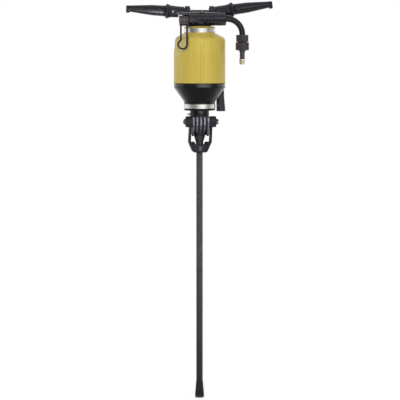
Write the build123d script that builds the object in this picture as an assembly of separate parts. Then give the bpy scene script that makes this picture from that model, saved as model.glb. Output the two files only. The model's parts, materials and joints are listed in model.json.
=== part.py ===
from build123d import *
import math
import os

# Hand held pneumatic rock drill, in millimetres. The origin is the middle of the bit's cutting edge,
# +Z runs up the drilling axis, +X is the air inlet side and -Y is the throttle lever side.

# Fits
RUNNING_PLAY = 0.05     # radial play of what turns or slides in a bore
SEAT_PLAY = 0.02        # radial play of what is pressed, screwed or clamped in place
SIDE_PLAY = 0.3         # axial play of what moves past a face
LOOSE_PLAY = 1.0        # clearance of what only passes by

# Drill steel
STEEL_AF = 22.0
STEEL_TURN = 9.0
STEEL_LENGTH = 1000.0
SHANK_LENGTH = 108.0
SHANK_CHAMFER = 2.0
COLLAR_D = 42.0
COLLAR_LAND = 4.0
COLLAR_TAPER = 22.0
COLLAR_NECK_D = 28.5
COLLAR_NECK = 18.0
COLLAR_RUNOUT = 8.0
FLUSH_D = 7.0
BIT_WIDTH = 34.0
BIT_DEPTH = 25.0
BIT_LENGTH = 67.0
BIT_LAND = 10.0
BIT_CROWN = 60.0
INSERT_THICKNESS = 9.0
INSERT_HEIGHT = 18.0
INSERT_BEVEL = 4.0
FLUSH_OUTLET_D = 5.0
FLUSH_OUTLET_TILT = 25.0

# Chuck
HEX_PLAY = 0.2
CHUCK_BUSH_LENGTH = 96.0
CHUCK_BUSH_WALL = 5.0
SLEEVE_WALL = 6.0
SLEEVE_LEDGE = 8.0
SLEEVE_LIP = 5.0
SLEEVE_FLANGE = 10.0
FRONT_BUSH_WALL = 3.0
FRONT_BUSH_LENGTH = 52.0

# Piston and rotation
STROKE = 59.0
BORE_D = 65.0
STEM_D = 38.0
STEM_LENGTH = 108.0
PISTON_HEAD = 52.0
SPLINE_COUNT = 6
SPLINE_WIDTH = 7.0
SPLINE_DEPTH = 2.0
SPLINE_PLAY = 0.3
IMPACT_GAP = 0.3
FRONT_CUSHION = 12.0
TOP_CUSHION = 5.0
OIL_GROOVE = 1.5
STEM_BUSH_LENGTH = 26.0
STEM_BUSH_WALL = 6.0
STEM_BUSH_FLANGE = 3.0
RIFLE_D = 22.0
RIFLE_LOBES = 4
RIFLE_LOBE_WIDTH = 6.0
RIFLE_LOBE_DEPTH = 2.0
RIFLE_LEAD = 900.0
RIFLE_PLAY = 0.3
RIFLE_RUNOUT = 8.0
NUT_LENGTH = 30.0
NUT_WALL = 5.7
PISTON_HOLE_WALL = 4.0
TUBE_D = 6.0
TUBE_BORE = 3.5
TUBE_REACH = 8.0
TUBE_SEAT = 15.0

# Distribution valve and ratchet
VALVE_SEAT = 7.0
VALVE_BOX = 15.0
VALVE_CAVITY = 5.0
VALVE_TRAVEL = 1.8
VALVE_INNER_D = 42.0
VALVE_OUTER_D = 58.0
VALVE_PORTS = 8
VALVE_PORT_D = 5.0
RATCHET_HEIGHT = 17.0
RATCHET_TEETH = 24
RATCHET_CREST_D = 54.0
RATCHET_TOOTH = 3.0
RATCHET_RAMP = 0.8
BAR_HEAD_D = 51.0
PAWL_COUNT = 4
PAWL_LENGTH = 12.0
PAWL_THICKNESS = 5.0
PAWL_TILT = 45.0
PAWL_PLAY = 0.15
PLUNGER_D = 3.0
PLUNGER_LENGTH = 6.0

# Cylinder, side rods and flanges
CYLINDER_WALL = 7.0
VALVE_STEP = 2.5
PORT_WIDTH = 36.0
PORT_HEIGHT = 14.0
PORT_LEAD = 4.0
PASSAGE_D = 4.0
ROD_D = 12.0
ROD_GAP = 1.0
ROD_RIM = 2.0
ROD_DEPTH = 30.0
ROD_END = 3.0
ROD_NUT_AF = 18.0
ROD_NUT_HEIGHT = 10.0

# Front head
NOSE_GAP = 1.0
NOSE_WALL = 3.0
NOSE_HEIGHT = 28.0
MOUTH_HEIGHT = 5.0
FRONT_HEAD_LENGTH = 119.0
HEAD_FLANGE = 26.0
HEAD_WALL = 8.0
NECK_RING_HEIGHT = 13.0
NECK_RING = 3.5
LUG_WIDTH = 64.0
LUG_FORWARD = 46.0
LUG_FRONT = 16.0
LUG_RIB_COUNT = 5
LUG_RIB_WIDTH = 7.5
LUG_RIB_DEPTH = 4.0
PIVOT_DROP = 67.4
LUG_ABOVE = 17.0
LUG_BELOW = 18.0
LUG_TAIL = 22.0
LUG_RIB_DROP = 15.0
FITTING_D = 9.0
FITTING_LENGTH = 12.0
FITTING_DROP = 41.0
FITTING_SINK = 6.0
FITTING_TIP_D = 4.0

# Retainer yoke
BOLT_D = 16.0
EYE_D = 42.0
EYE_WIDTH = 24.0
LEG_WIDTH = 8.2
LEG_SET = 2.4
LEG_DEPTH = 26.0
YOKE_DROP = 117.6
YOKE_PLATE = 31.0
YOKE_HOOK = 11.0
YOKE_HOOK_REACH = 14.0
YOKE_FRONT = 30.0
YOKE_REAR = 22.0
YOKE_CHEEK = 40.0
YOKE_CHIN = 26.0
YOKE_ROUND = 12.0
HOOK_ROUND = 4.0
HOOK_EDGE_ROUND = 2.0
SLOT_PLAY = 0.75
WASHER_THICKNESS = 2.0
WASHER_D = 26.0
BOLT_THREAD_D = 10.0
BOLT_HEAD_D = 21.0
BOLT_HEAD_HEIGHT = 7.5
PIVOT_NUT_AF = 17.0
PIVOT_NUT_HEIGHT = 7.5
COTTER_D = 3.0
COTTER_END = 2.0

# Silencer
BODY_D = 195.0
SILENCER_WALL = 4.5
NECK_WALL = 3.9
LIP_STEP = 0.8
LIP_RISE = 2.4
UPPER_NECK = 27.0
SHOULDER = 20.0
SHOULDER_ROUND = 18.0
NECK_ROUND = 4.5
RIM_STEP = 1.3
RIM_HEIGHT = 16.5
RIM_WALL = 3.1
SHELL_BEAD = 3.6
CONE_HEIGHT = 56.0
CONE_ROUND = 14.0
LOWER_NECK = 32.0
LIP_BAND_EDGE = 8.0
MOULD_RIB_WIDTH = 11.0
MOULD_RIB_PROUD = 0.8
MOULD_RIB_ANGLE = 270.0
MOULD_RIB_END = 8.0
RECESS_ANGLE = 197.0
RECESS_DEPTH = 21.0
RECESS_REACH = 66.0
OUTLET_D = 30.0
OUTLET_WALL = 2.5
OUTLET_CENTRE = 81.5
OUTLET_ANGLE = 10.0
OUTLET_ROOT = 78.0
OUTLET_TAIL = 4.0
BAND_WIDTH = 16.0
BAND_THICKNESS = 0.8
BAND_END_ANGLE = -38.0
CLAMP_ANGLE = 90.0
CLAMP_LENGTH = 24.0
CLAMP_HEIGHT = 11.0
CLAMP_SCREW_D = 7.0
CLAMP_HEAD_AF = 8.0
CLAMP_HEAD_LENGTH = 6.0

# Backhead and throttle
BASE_HEIGHT = 40.0
CHEST_Y = -20.0
CHEST_D = 42.0
CHEST_LEFT = -45.0
CHEST_RIGHT = 97.0
CHEST_BOSS_D = 50.0
CHEST_BOSS = 47.0
PEDESTAL_D = 84.0
PAD_LEFT = -78.0
PAD_RIGHT = 97.0
PAD_DEPTH = 50.0
PAD_THICKNESS = 11.0
PAD_ROUND = 4.0
PAD_GAP = 1.0
WEB_LEFT = -64.6
WEB_GAP = 3.5
RIB_LENGTH = 68.0
RIB_HEIGHT = 8.0
RIB_DEPTH = 40.0
CAVITY_HEIGHT = 20.0
AIR_PORT_D = 12.0
PLUG_D = 26.0
PLUG_BORE = 15.0
PLUG_RIGHT = 36.0
STUB_LEFT = -79.5
STUB_LIP_D = 29.0
STUB_LIP = 3.0
STUB_CAP = 4.0
THROTTLE_TRAVEL = 90.0
HUB_THICKNESS = 13.0
HUB_REACH = 28.0
SEAL_SECTION = 2.5
SEAL_INSET = 7.0
RING_THICKNESS = 1.5
RING_STEP = 2.0
OIL_PLUG_X = 6.0
OIL_PLUG_AF = 13.0
OIL_PLUG_HEAD = 4.0
OIL_PLUG_D = 10.0
OIL_PLUG_DEPTH = 12.0

# Throttle lever, bent from round rod
LEVER_D = 7.0
LEVER_WIDTH = 23.2
LEVER_SPLAY = 7.0
LEVER_CLEAR = 2.8
LEG_DROP = 78.0
LOOP_DROP = 111.0
LOOP_LEAN = 3.0
LOOP_BULGE = 10.6
LOOP_RISE = 22.0
LEVER_BEND = 15.0
LOOP_BEND = 16.5
KINK_BEND = 8.0

# Air inlet
PIPE_D = 22.5
PIPE_BORE = 15.0
PIPE_BEND = 57.0
PIPE_X = 160.5
PIPE_DROP = 60.0
PIPE_COLLAR_D = 29.0
PIPE_COLLAR = 5.0
GLAND_LENGTH = 12.0
GLAND_WALL = 5.0
INLET_BORE = 32.0
SWIVEL_SEAL = 4.0
STRAINER_WALL = 1.0
STRAINER_GAP = 2.0
STRAINER_FLANGE = 2.0
STRAINER_ROWS = 4
STRAINER_HOLES = 8
STRAINER_HOLE_D = 4.0
PIPE_NUT_AF = 46.0
PIPE_NUT_HEIGHT = 26.0
PIPE_THREAD_D = 36.0
PIPE_THREAD = 18.0
NUT_SPACE = 2.0
NUT_TURN = 24.0
UNION_AF = 50.0
UNION_HEIGHT = 30.0
UNION_LIP = 8.0
NUT_CHAMFER = 2.0
NIPPLE_D = 22.0
NIPPLE_BORE = 15.0
NIPPLE_LENGTH = 46.0
NIPPLE_CONE = 8.0
NIPPLE_CHAMFER = 1.5
GASKET = 2.0

# Handle arms and grips
ARM_X = 46.0
ARM_RISE_Z = 2.0
LEFT_TILT = 4.0
RIGHT_TILT = 7.8
FOOT_WIDTH = 34.0
FOOT_INNER = 36.0
FOOT_OUTER = 66.0
FOOT_THICKNESS = 12.5
FOOT_ROUND = 4.0
ARM_TOP_START = 13.0
ARM_GAP = 2.0
SOCKET_START_D = 42.0
SOCKET_END = 64.0
SOCKET_END_D = 45.0
GUARD_PEAK = 79.0
GUARD_D = 57.0
GUARD_END = 86.0
GUARD_END_D = 41.0
STEM_TUBE_D = 18.0
STEM_TUBE_BORE = 11.0
STEM_TUBE_END = 212.0
PIN_INSET = 8.5
LEFT_PIN = 55.5
GRIP_PIN_D = 11.0
GRIP_PIN_BORE = 7.6
GRIP_ROOT_D = 40.0
GRIP_BELLY = 143.0
GRIP_BELLY_D = 38.0
GRIP_MIDDLE = 165.0
GRIP_MIDDLE_D = 34.2
GRIP_TIP = 219.0
GRIP_TIP_D = 24.0
GRIP_END = 233.0
GRIP_LIP_D = 26.6
GRIP_LIP_DROP = 3.5
GRIP_LIP_ROUND = 3.0
ARM_BOLT_D = 12.0
ARM_BOLT_AF = 18.0
ARM_BOLT_HEAD = 7.5
ARM_WASHER_D = 24.0
ARM_WASHER = 2.5

# Heights up the drilling axis
shoulder_z = STEEL_LENGTH
shank_end = shoulder_z + SHANK_LENGTH
nose_z = shoulder_z + NOSE_GAP
mouth_z = nose_z + MOUTH_HEIGHT
head_top = nose_z + FRONT_HEAD_LENGTH
head_flange_low = head_top - HEAD_FLANGE
chuck_bush_top = shoulder_z + CHUCK_BUSH_LENGTH
piston_low = shank_end + IMPACT_GAP
piston_head_low = piston_low + STEM_LENGTH
piston_top = piston_head_low + PISTON_HEAD
nut_low = piston_top - NUT_LENGTH
stem_bush_top = piston_head_low - FRONT_CUSHION
stem_bush_low = stem_bush_top - STEM_BUSH_LENGTH
sleeve_top = stem_bush_low - STEM_BUSH_FLANGE - LOOSE_PLAY
valve_low = piston_top + STROKE + TOP_CUSHION
valve_seat_top = valve_low + VALVE_SEAT
valve_box_top = valve_seat_top + VALVE_BOX
cylinder_top = valve_box_top + RATCHET_HEIGHT
base_top = cylinder_top + BASE_HEIGHT
chest_z = base_top + LIP_RISE + LOOSE_PLAY + CHEST_BOSS_D / 2
pad_low = chest_z + max(PLUG_D, STUB_LIP_D) / 2 + PAD_GAP
pad_top = pad_low + PAD_THICKNESS
pivot_z = head_top - PIVOT_DROP
yoke_bottom = pivot_z - YOKE_DROP

# Radii across the drilling axis
steel_corner = STEEL_AF / 2 / math.cos(math.pi / 6)
chuck_hex_af = STEEL_AF + 2 * HEX_PLAY
chuck_bush_r = chuck_hex_af / 2 / math.cos(math.pi / 6) + CHUCK_BUSH_WALL
stem_r = STEM_D / 2
sleeve_r = max(chuck_bush_r, stem_r) + SLEEVE_WALL
sleeve_flange_r = sleeve_r + SLEEVE_LIP
front_bush_r = sleeve_r + RUNNING_PLAY + FRONT_BUSH_WALL
head_r = front_bush_r + HEAD_WALL
nose_r = front_bush_r + NOSE_WALL
skirt_r = sleeve_r + LOOSE_PLAY * 2
bore_r = BORE_D / 2
cylinder_r = bore_r + CYLINDER_WALL
valve_r = bore_r + VALVE_STEP
rod_circle = cylinder_r + ROD_GAP + ROD_D / 2
flange_r = rod_circle + ROD_D / 2 + ROD_RIM
neck_r = flange_r + SEAT_PLAY + NECK_WALL
lip_r = neck_r + LIP_STEP
body_r = BODY_D / 2
rim_r = body_r + RIM_STEP
rifle_r = RIFLE_D / 2
tube_r = TUBE_D / 2
tube_way = tube_r + SIDE_PLAY
plug_r = PLUG_D / 2
pipe_r = PIPE_D / 2
rod_angles = (90.0, 270.0)

# Silencer heights
shell_top = base_top + LIP_RISE
upper_neck_low = shell_top - UPPER_NECK
shoulder_low = upper_neck_low - SHOULDER
cone_bottom = head_flange_low
cone_low = cone_bottom + LOWER_NECK
cone_high = cone_low + CONE_HEIGHT
joint_z = cone_high + RIM_HEIGHT
upper_band_z = shell_top - LIP_BAND_EDGE - BAND_WIDTH / 2
lower_band_z = cone_bottom + LIP_BAND_EDGE + BAND_WIDTH / 2


# Basic shapes
def upright(radius, low, high, x=0.0, y=0.0):
    align = (Align.CENTER, Align.CENTER, Align.MIN)
    return Pos(x, y, low) * Cylinder(radius, high - low, align=align)


def along_x(radius, left, right, y, z):
    align = (Align.CENTER, Align.CENTER, Align.MIN)
    return Pos(left, y, z) * Rot(0, 90, 0) * Cylinder(radius, right - left, align=align)


def along_y(radius, front, back, x, z):
    align = (Align.CENTER, Align.CENTER, Align.MIN)
    return Pos(x, front, z) * Rot(-90, 0, 0) * Cylinder(radius, back - front, align=align)


def tube(outer, inner, low, high):
    return upright(outer, low, high) - upright(inner, low, high)


def tube_x(outer, inner, left, right, y, z):
    return along_x(outer, left, right, y, z) - along_x(inner, left, right, y, z)


def block(x_range, y_range, z_range):
    corner = (x_range[0], y_range[0], z_range[0])
    size = (x_range[1] - x_range[0], y_range[1] - y_range[0], z_range[1] - z_range[0])
    return Pos(*corner) * Box(*size, align=(Align.MIN, Align.MIN, Align.MIN))


def turned(points, rounds=None):
    """Solid of revolution about Z from (radius, height) points, with optional corner rounds."""
    if rounds is None:
        outline = Polyline(*points, close=True)
    else:
        outline = FilletPolyline(*points, radius=rounds, close=True)
    return revolve(Plane.XZ * make_face(outline), Axis.Z)


def prism(across_flats, low, high, x=0.0, y=0.0, turn=0.0):
    outline = RegularPolygon(across_flats / 2, 6, major_radius=False, rotation=turn)
    return Pos(x, y, low) * extrude(outline, high - low)


def hex_nut(across_flats, low, high, x=0.0, y=0.0, turn=0.0):
    """Hexagon prism with its corners turned off at both ends."""
    corner = across_flats / 2 / math.cos(math.pi / 6)
    edge = across_flats / 2 - NUT_CHAMFER / 2
    fall = (corner - edge) / 2
    points = [(0, low), (edge, low), (corner, low + fall), (corner, high - fall), (edge, high), (0, high)]
    return prism(across_flats, low, high, x, y, turn) & (Pos(x, y, 0) * turned(points))


def polar(radius, angle):
    return radius * math.cos(math.radians(angle)), radius * math.sin(math.radians(angle))


def side_profile(points, left, right):
    """Extrude a (y, z) outline along X."""
    face = Plane.YZ * make_face(Polyline(*points, close=True))
    return Pos(left, 0, 0) * extrude(face, right - left)


def front_profile(points, front, back, rounds):
    """Extrude an (x, z) outline along Y, with its corners rounded."""
    face = Plane.XZ * make_face(FilletPolyline(*points, radius=rounds, close=True))
    return Pos(0, back, 0) * extrude(face, back - front)


# Drill steel
def bit_insert():
    half = INSERT_THICKNESS / 2
    outline = [
        (-half, INSERT_HEIGHT), (-half, INSERT_BEVEL), (0, 0), (half, INSERT_BEVEL), (half, INSERT_HEIGHT),
    ]
    plate = side_profile(outline, -BIT_WIDTH / 2, BIT_WIDTH / 2)
    plate &= upright(BIT_WIDTH / 2, 0, INSERT_HEIGHT)
    return plate & along_y(BIT_CROWN, -half, half, 0, BIT_CROWN)


def drill_steel():
    collar_r = COLLAR_D / 2
    neck = COLLAR_NECK_D / 2
    collar_low = shoulder_z - COLLAR_LAND
    taper_low = collar_low - COLLAR_TAPER
    neck_low = taper_low - COLLAR_NECK
    collar = turned([
        (0, neck_low - COLLAR_RUNOUT), (steel_corner, neck_low - COLLAR_RUNOUT), (neck, neck_low),
        (neck, taper_low), (collar_r, collar_low), (collar_r, shoulder_z), (0, shoulder_z),
    ])
    rod = prism(STEEL_AF, BIT_LENGTH, shank_end, turn=STEEL_TURN)
    rod &= turned([
        (0, BIT_LENGTH), (steel_corner, BIT_LENGTH), (steel_corner, shank_end - SHANK_CHAMFER),
        (STEEL_AF / 2 - SHANK_CHAMFER / 2, shank_end), (0, shank_end),
    ])
    gauge = BIT_WIDTH / 2
    land_low = INSERT_HEIGHT - BIT_LAND
    head = turned([
        (0, land_low), (gauge - INSERT_BEVEL / 2, land_low), (gauge, INSERT_HEIGHT - BIT_LAND / 2),
        (gauge, INSERT_HEIGHT), (steel_corner, BIT_LENGTH), (0, BIT_LENGTH),
    ])
    flank = BIT_DEPTH / 2
    half = INSERT_THICKNESS / 2
    head &= side_profile([
        (-half, land_low), (half, land_low), (flank, INSERT_HEIGHT),
        (flank, BIT_LENGTH), (-flank, BIT_LENGTH), (-flank, INSERT_HEIGHT),
    ], -BIT_WIDTH, BIT_WIDTH)
    head -= block((-BIT_WIDTH, BIT_WIDTH), (-half, half), (0, INSERT_HEIGHT))
    hole_end = BIT_LENGTH * 0.75
    outlet_length = BIT_LENGTH
    outlet = Rot(180 - FLUSH_OUTLET_TILT, 0, 0) * upright(FLUSH_OUTLET_D / 2, 0, outlet_length)
    outlet = Pos(0, 0, hole_end) * outlet
    steel = rod + collar + head
    steel -= upright(FLUSH_D / 2, hole_end, shank_end)
    return steel - outlet


# Chuck
def chuck_bush():
    body = upright(chuck_bush_r, shoulder_z, chuck_bush_top)
    return body - prism(chuck_hex_af, shoulder_z, chuck_bush_top, turn=STEEL_TURN)


def spline_section(play):
    """Piston stem section, grown by the play on every side."""
    section = Circle(stem_r - SPLINE_DEPTH + play)
    for k in range(SPLINE_COUNT):
        rib = Pos(stem_r / 2, 0) * Rectangle(stem_r + 2 * play, SPLINE_WIDTH + 2 * play)
        section += Rot(0, 0, k * 360 / SPLINE_COUNT) * rib
    return section & Circle(stem_r + min(play, RUNNING_PLAY))


def rotation_sleeve():
    ledge_top = chuck_bush_top + SLEEVE_LEDGE
    flange_low = head_top - SLEEVE_FLANGE
    low = mouth_z + SIDE_PLAY
    body = upright(sleeve_r, low, sleeve_top)
    body += upright(sleeve_flange_r, flange_low, head_top - SIDE_PLAY)
    body -= upright(chuck_bush_r + SEAT_PLAY, low, chuck_bush_top)
    body -= upright(steel_corner + LOOSE_PLAY, low, ledge_top)
    return body - Pos(0, 0, ledge_top) * extrude(spline_section(SPLINE_PLAY), sleeve_top - ledge_top)


def front_bush():
    low = mouth_z + LOOSE_PLAY
    return tube(front_bush_r, sleeve_r + RUNNING_PLAY, low, low + FRONT_BUSH_LENGTH)


# Piston and rotation
def rifle_section(play):
    section = Circle(rifle_r - RIFLE_LOBE_DEPTH + play)
    for k in range(RIFLE_LOBES):
        lobe = Pos(rifle_r / 2, 0) * Rectangle(rifle_r + 2 * play, RIFLE_LOBE_WIDTH + 2 * play)
        section += Rot(0, 0, k * 360 / RIFLE_LOBES) * lobe
    return section & Circle(rifle_r + play)


def rifle_twist(play, low, high):
    """Helical length of the rifle bar between two heights, with one turn in each lead."""
    start = -360 * low / RIFLE_LEAD
    turn = -360 * (high - low) / RIFLE_LEAD
    face = (Rot(0, 0, start) * rifle_section(play)).faces()[0]
    twisted = Solid.extrude_linear_with_rotation(face, (0, 0, 0), (0, 0, high - low), turn)
    return Pos(0, 0, low) * twisted


def piston():
    nut_r = rifle_r + NUT_WALL
    body = upright(bore_r - RUNNING_PLAY, piston_head_low, piston_top)
    body += upright(stem_r, sleeve_top, piston_head_low)
    body += Pos(0, 0, piston_low) * extrude(spline_section(0), sleeve_top - piston_low)
    for k in range(3):
        groove_z = piston_head_low + PISTON_HEAD * (k + 1) / 4
        body -= tube(bore_r, bore_r - OIL_GROOVE, groove_z - OIL_GROOVE / 2, groove_z + OIL_GROOVE / 2)
    body -= upright(nut_r + SEAT_PLAY, nut_low, piston_top)
    bar_low = nut_low - RIFLE_RUNOUT
    hole_low = bar_low - STROKE - PISTON_HOLE_WALL
    body -= upright(rifle_r + LOOSE_PLAY, hole_low, nut_low)
    return body - upright(tube_way, piston_low, hole_low)


def rifle_nut():
    body = upright(rifle_r + NUT_WALL, nut_low, piston_top)
    return body - rifle_twist(RIFLE_PLAY, nut_low, piston_top)


def stem_bush():
    bore = stem_r + RUNNING_PLAY
    body = tube(stem_r + STEM_BUSH_WALL, bore, stem_bush_low, stem_bush_top)
    flange_low = stem_bush_low - STEM_BUSH_FLANGE
    return body + tube(skirt_r - SEAT_PLAY, bore, flange_low, stem_bush_low)


def pawl_outline(play):
    """Plan of the pawls, with their tips just inside the ratchet's crests."""
    tip_r = PAWL_THICKNESS / 2
    tip_centre = RATCHET_CREST_D / 2 - SIDE_PLAY - tip_r
    slot = SlotCenterToCenter(PAWL_LENGTH - PAWL_THICKNESS, PAWL_THICKNESS + 2 * play)
    back = (PAWL_LENGTH - PAWL_THICKNESS) / 2
    pawl = Pos(tip_centre, 0) * Rot(0, 0, PAWL_TILT) * Pos(-back, 0) * slot
    return Sketch() + [Rot(0, 0, k * 360 / PAWL_COUNT) * pawl for k in range(PAWL_COUNT)]


def pawl_mouth():
    """Plan of the gap in front of each pawl, where its tip leaves the bar's head."""
    tip_centre = RATCHET_CREST_D / 2 - SIDE_PLAY - PAWL_THICKNESS / 2
    gap = Pos(tip_centre, 0) * Rot(0, 0, PAWL_TILT) * Pos(PAWL_LENGTH / 2, 0)
    gap = gap * Rectangle(PAWL_LENGTH, PAWL_THICKNESS + 2 * PAWL_PLAY)
    return Sketch() + [Rot(0, 0, k * 360 / PAWL_COUNT) * gap for k in range(PAWL_COUNT)]


def plunger(length, play):
    """Spring plunger behind a pawl, square to the pawl's back."""
    tip_centre = RATCHET_CREST_D / 2 - SIDE_PLAY - PAWL_THICKNESS / 2
    middle_z = valve_box_top + RATCHET_HEIGHT / 2
    back = PAWL_LENGTH - PAWL_THICKNESS + PAWL_THICKNESS / 2 + PAWL_PLAY
    pin = Rot(0, -90, 0) * upright(PLUNGER_D / 2 + play, back, back + length)
    return Pos(tip_centre, 0, middle_z) * Rot(0, 0, PAWL_TILT) * pin


def pawls():
    low = valve_box_top + SIDE_PLAY * 2
    return Pos(0, 0, low) * extrude(pawl_outline(0), RATCHET_HEIGHT - 4 * SIDE_PLAY)


def pawl_plungers():
    pins = [Rot(0, 0, k * 360 / PAWL_COUNT) * plunger(PLUNGER_LENGTH, 0) for k in range(PAWL_COUNT)]
    return Compound(children=pins)


def rifle_bar():
    low = nut_low - RIFLE_RUNOUT
    head_low = valve_box_top + SIDE_PLAY
    head_high = cylinder_top - SIDE_PLAY
    body = rifle_twist(0, low, valve_low)
    body += upright(rifle_r, valve_low, head_low)
    head = upright(BAR_HEAD_D / 2, head_low, head_high)
    head -= Pos(0, 0, head_low) * extrude(pawl_outline(PAWL_PLAY) + pawl_mouth(), head_high - head_low)
    for k in range(PAWL_COUNT):
        head -= Rot(0, 0, k * 360 / PAWL_COUNT) * plunger(PLUNGER_LENGTH, PAWL_PLAY)
    body += head
    return body - upright(tube_way, low, head_high)


def ratchet_ring():
    crest = RATCHET_CREST_D / 2
    pitch = 360 / RATCHET_TEETH
    teeth = []
    for k in range(RATCHET_TEETH):
        teeth.append(polar(crest + RATCHET_TOOTH, k * pitch))
        teeth.append(polar(crest, (k + RATCHET_RAMP) * pitch))
    inside = extrude(make_face(Polyline(*teeth, close=True)), RATCHET_HEIGHT)
    return upright(valve_r - SEAT_PLAY, valve_box_top, cylinder_top) - Pos(0, 0, valve_box_top) * inside


def blow_tube():
    low = shank_end - TUBE_REACH
    high = cylinder_top + CAVITY_HEIGHT + TUBE_SEAT
    return tube(tube_r, TUBE_BORE / 2, low, high)


# Distribution valve
def ported(body, low, high):
    circle = (VALVE_INNER_D + VALVE_OUTER_D) / 4
    for k in range(VALVE_PORTS):
        x, y = polar(circle, k * 360 / VALVE_PORTS)
        body -= upright(VALVE_PORT_D / 2, low, high, x, y)
    return body


def valve_seat():
    body = tube(valve_r - SEAT_PLAY, rifle_r + RUNNING_PLAY, valve_low, valve_seat_top)
    return ported(body, valve_low, valve_seat_top)


def valve_plate():
    thickness = VALVE_CAVITY - VALVE_TRAVEL - 2 * RUNNING_PLAY
    low = valve_seat_top + RUNNING_PLAY
    return tube(VALVE_OUTER_D / 2, VALVE_INNER_D / 2, low, low + thickness)


def valve_box():
    body = tube(valve_r - SEAT_PLAY, rifle_r + RUNNING_PLAY, valve_seat_top, valve_box_top)
    outer = VALVE_OUTER_D / 2 + RUNNING_PLAY
    inner = VALVE_INNER_D / 2 - RUNNING_PLAY
    body -= tube(outer, inner, valve_seat_top, valve_seat_top + VALVE_CAVITY)
    return ported(body, valve_seat_top + VALVE_CAVITY, valve_box_top)


# Cylinder and side rods
def cylinder():
    body = upright(cylinder_r, head_top, cylinder_top)
    body -= upright(skirt_r, head_top, stem_bush_low)
    body -= upright(stem_r + STEM_BUSH_WALL + SEAT_PLAY, stem_bush_low, stem_bush_top)
    body -= upright(bore_r, stem_bush_top, valve_low)
    body -= upright(valve_r, valve_low, cylinder_top)
    port_low = piston_top + PORT_LEAD
    body -= block((0, cylinder_r), (-PORT_WIDTH / 2, PORT_WIDTH / 2), (port_low, port_low + PORT_HEIGHT))
    passage_x, passage_y = polar(bore_r + CYLINDER_WALL / 2, 180)
    passage_low = stem_bush_top + PASSAGE_D
    body -= upright(PASSAGE_D / 2, passage_low, valve_low, passage_x, passage_y)
    return body - along_x(PASSAGE_D / 2, passage_x, 0, passage_y, passage_low)


def side_rods():
    low = head_flange_low - ROD_NUT_HEIGHT - ROD_END
    high = cylinder_top + ROD_DEPTH
    rods = [upright(ROD_D / 2, low, high, *polar(rod_circle, angle)) for angle in rod_angles]
    return Compound(children=rods)


def side_rod_nuts():
    low = head_flange_low - ROD_NUT_HEIGHT
    nuts = []
    for angle in rod_angles:
        x, y = polar(rod_circle, angle)
        nut = hex_nut(ROD_NUT_AF, low, head_flange_low, x, y)
        nuts.append(nut - upright(ROD_D / 2 + SEAT_PLAY, low, head_flange_low, x, y))
    return Compound(children=nuts)


# Front head
def front_lug():
    """Ribbed lug on the front that carries the retainer bolt."""
    pivot_y = -LUG_FORWARD
    top = pivot_z + LUG_ABOVE
    low = pivot_z - LUG_BELOW

    def outline(front, sink, drop):
        tail = low - LUG_TAIL - drop
        return [
            (-chuck_bush_r, top - sink), (front, top - sink), (front, low), (-nose_r, tail),
            (-chuck_bush_r, tail),
        ]

    body = side_profile(outline(pivot_y - LUG_FRONT + LUG_RIB_DEPTH, 0, 0), -LUG_WIDTH / 2, LUG_WIDTH / 2)
    spacing = (LUG_WIDTH - LUG_RIB_WIDTH) / (LUG_RIB_COUNT - 1)
    for k in range(LUG_RIB_COUNT):
        left = -LUG_WIDTH / 2 + k * spacing
        drop = LUG_RIB_DROP * (2 * k / (LUG_RIB_COUNT - 1) - 1) ** 2
        body += side_profile(outline(pivot_y - LUG_FRONT, LUG_RIB_DEPTH, drop), left, left + LUG_RIB_WIDTH)
    return body


def front_head():
    body = turned([
        (0, nose_z), (nose_r, nose_z), (head_r, nose_z + NOSE_HEIGHT), (head_r, head_flange_low),
        (flange_r, head_flange_low), (flange_r, head_top), (0, head_top),
    ])
    ring_low = pivot_z + LUG_ABOVE
    body += upright(head_r + NECK_RING, ring_low - NECK_RING_HEIGHT, ring_low)
    body += front_lug()
    body -= upright(chuck_bush_r + LOOSE_PLAY, nose_z, head_top)
    body -= upright(front_bush_r + SEAT_PLAY, mouth_z, head_top)
    flange_low = head_top - SLEEVE_FLANGE - SIDE_PLAY
    body -= upright(sleeve_flange_r + RUNNING_PLAY, flange_low, head_top)
    for angle in rod_angles:
        body -= upright(ROD_D / 2 + SEAT_PLAY, head_flange_low, head_top, *polar(rod_circle, angle))
    body -= along_x(BOLT_D / 2 + SEAT_PLAY, -LUG_WIDTH / 2, LUG_WIDTH / 2, -LUG_FORWARD, pivot_z)
    return body - fitting_thread(SEAT_PLAY)


def fitting_thread(play):
    z = head_top - FITTING_DROP
    return along_x(FITTING_D / 2 + play, -head_r - FITTING_LENGTH / 4, -head_r + FITTING_SINK, 0, z)


def grease_fitting():
    """Small ball headed fitting on the left of the front head's neck."""
    z = head_top - FITTING_DROP
    start = head_r
    tip = FITTING_TIP_D / 2
    stem = turned([
        (0, start), (FITTING_D / 2, start), (FITTING_D / 2, start + FITTING_LENGTH / 3),
        (tip, start + FITTING_LENGTH * 0.7), (tip, start + FITTING_LENGTH), (0, start + FITTING_LENGTH),
    ])
    thread = along_x(FITTING_D / 2, -head_r, -head_r + FITTING_SINK, 0, z)
    return Pos(0, 0, z) * Rot(0, -90, 0) * stem + thread


# Retainer
yoke_inner = LUG_WIDTH / 2 + SIDE_PLAY * 4
eye_outer = yoke_inner + EYE_WIDTH


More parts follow.
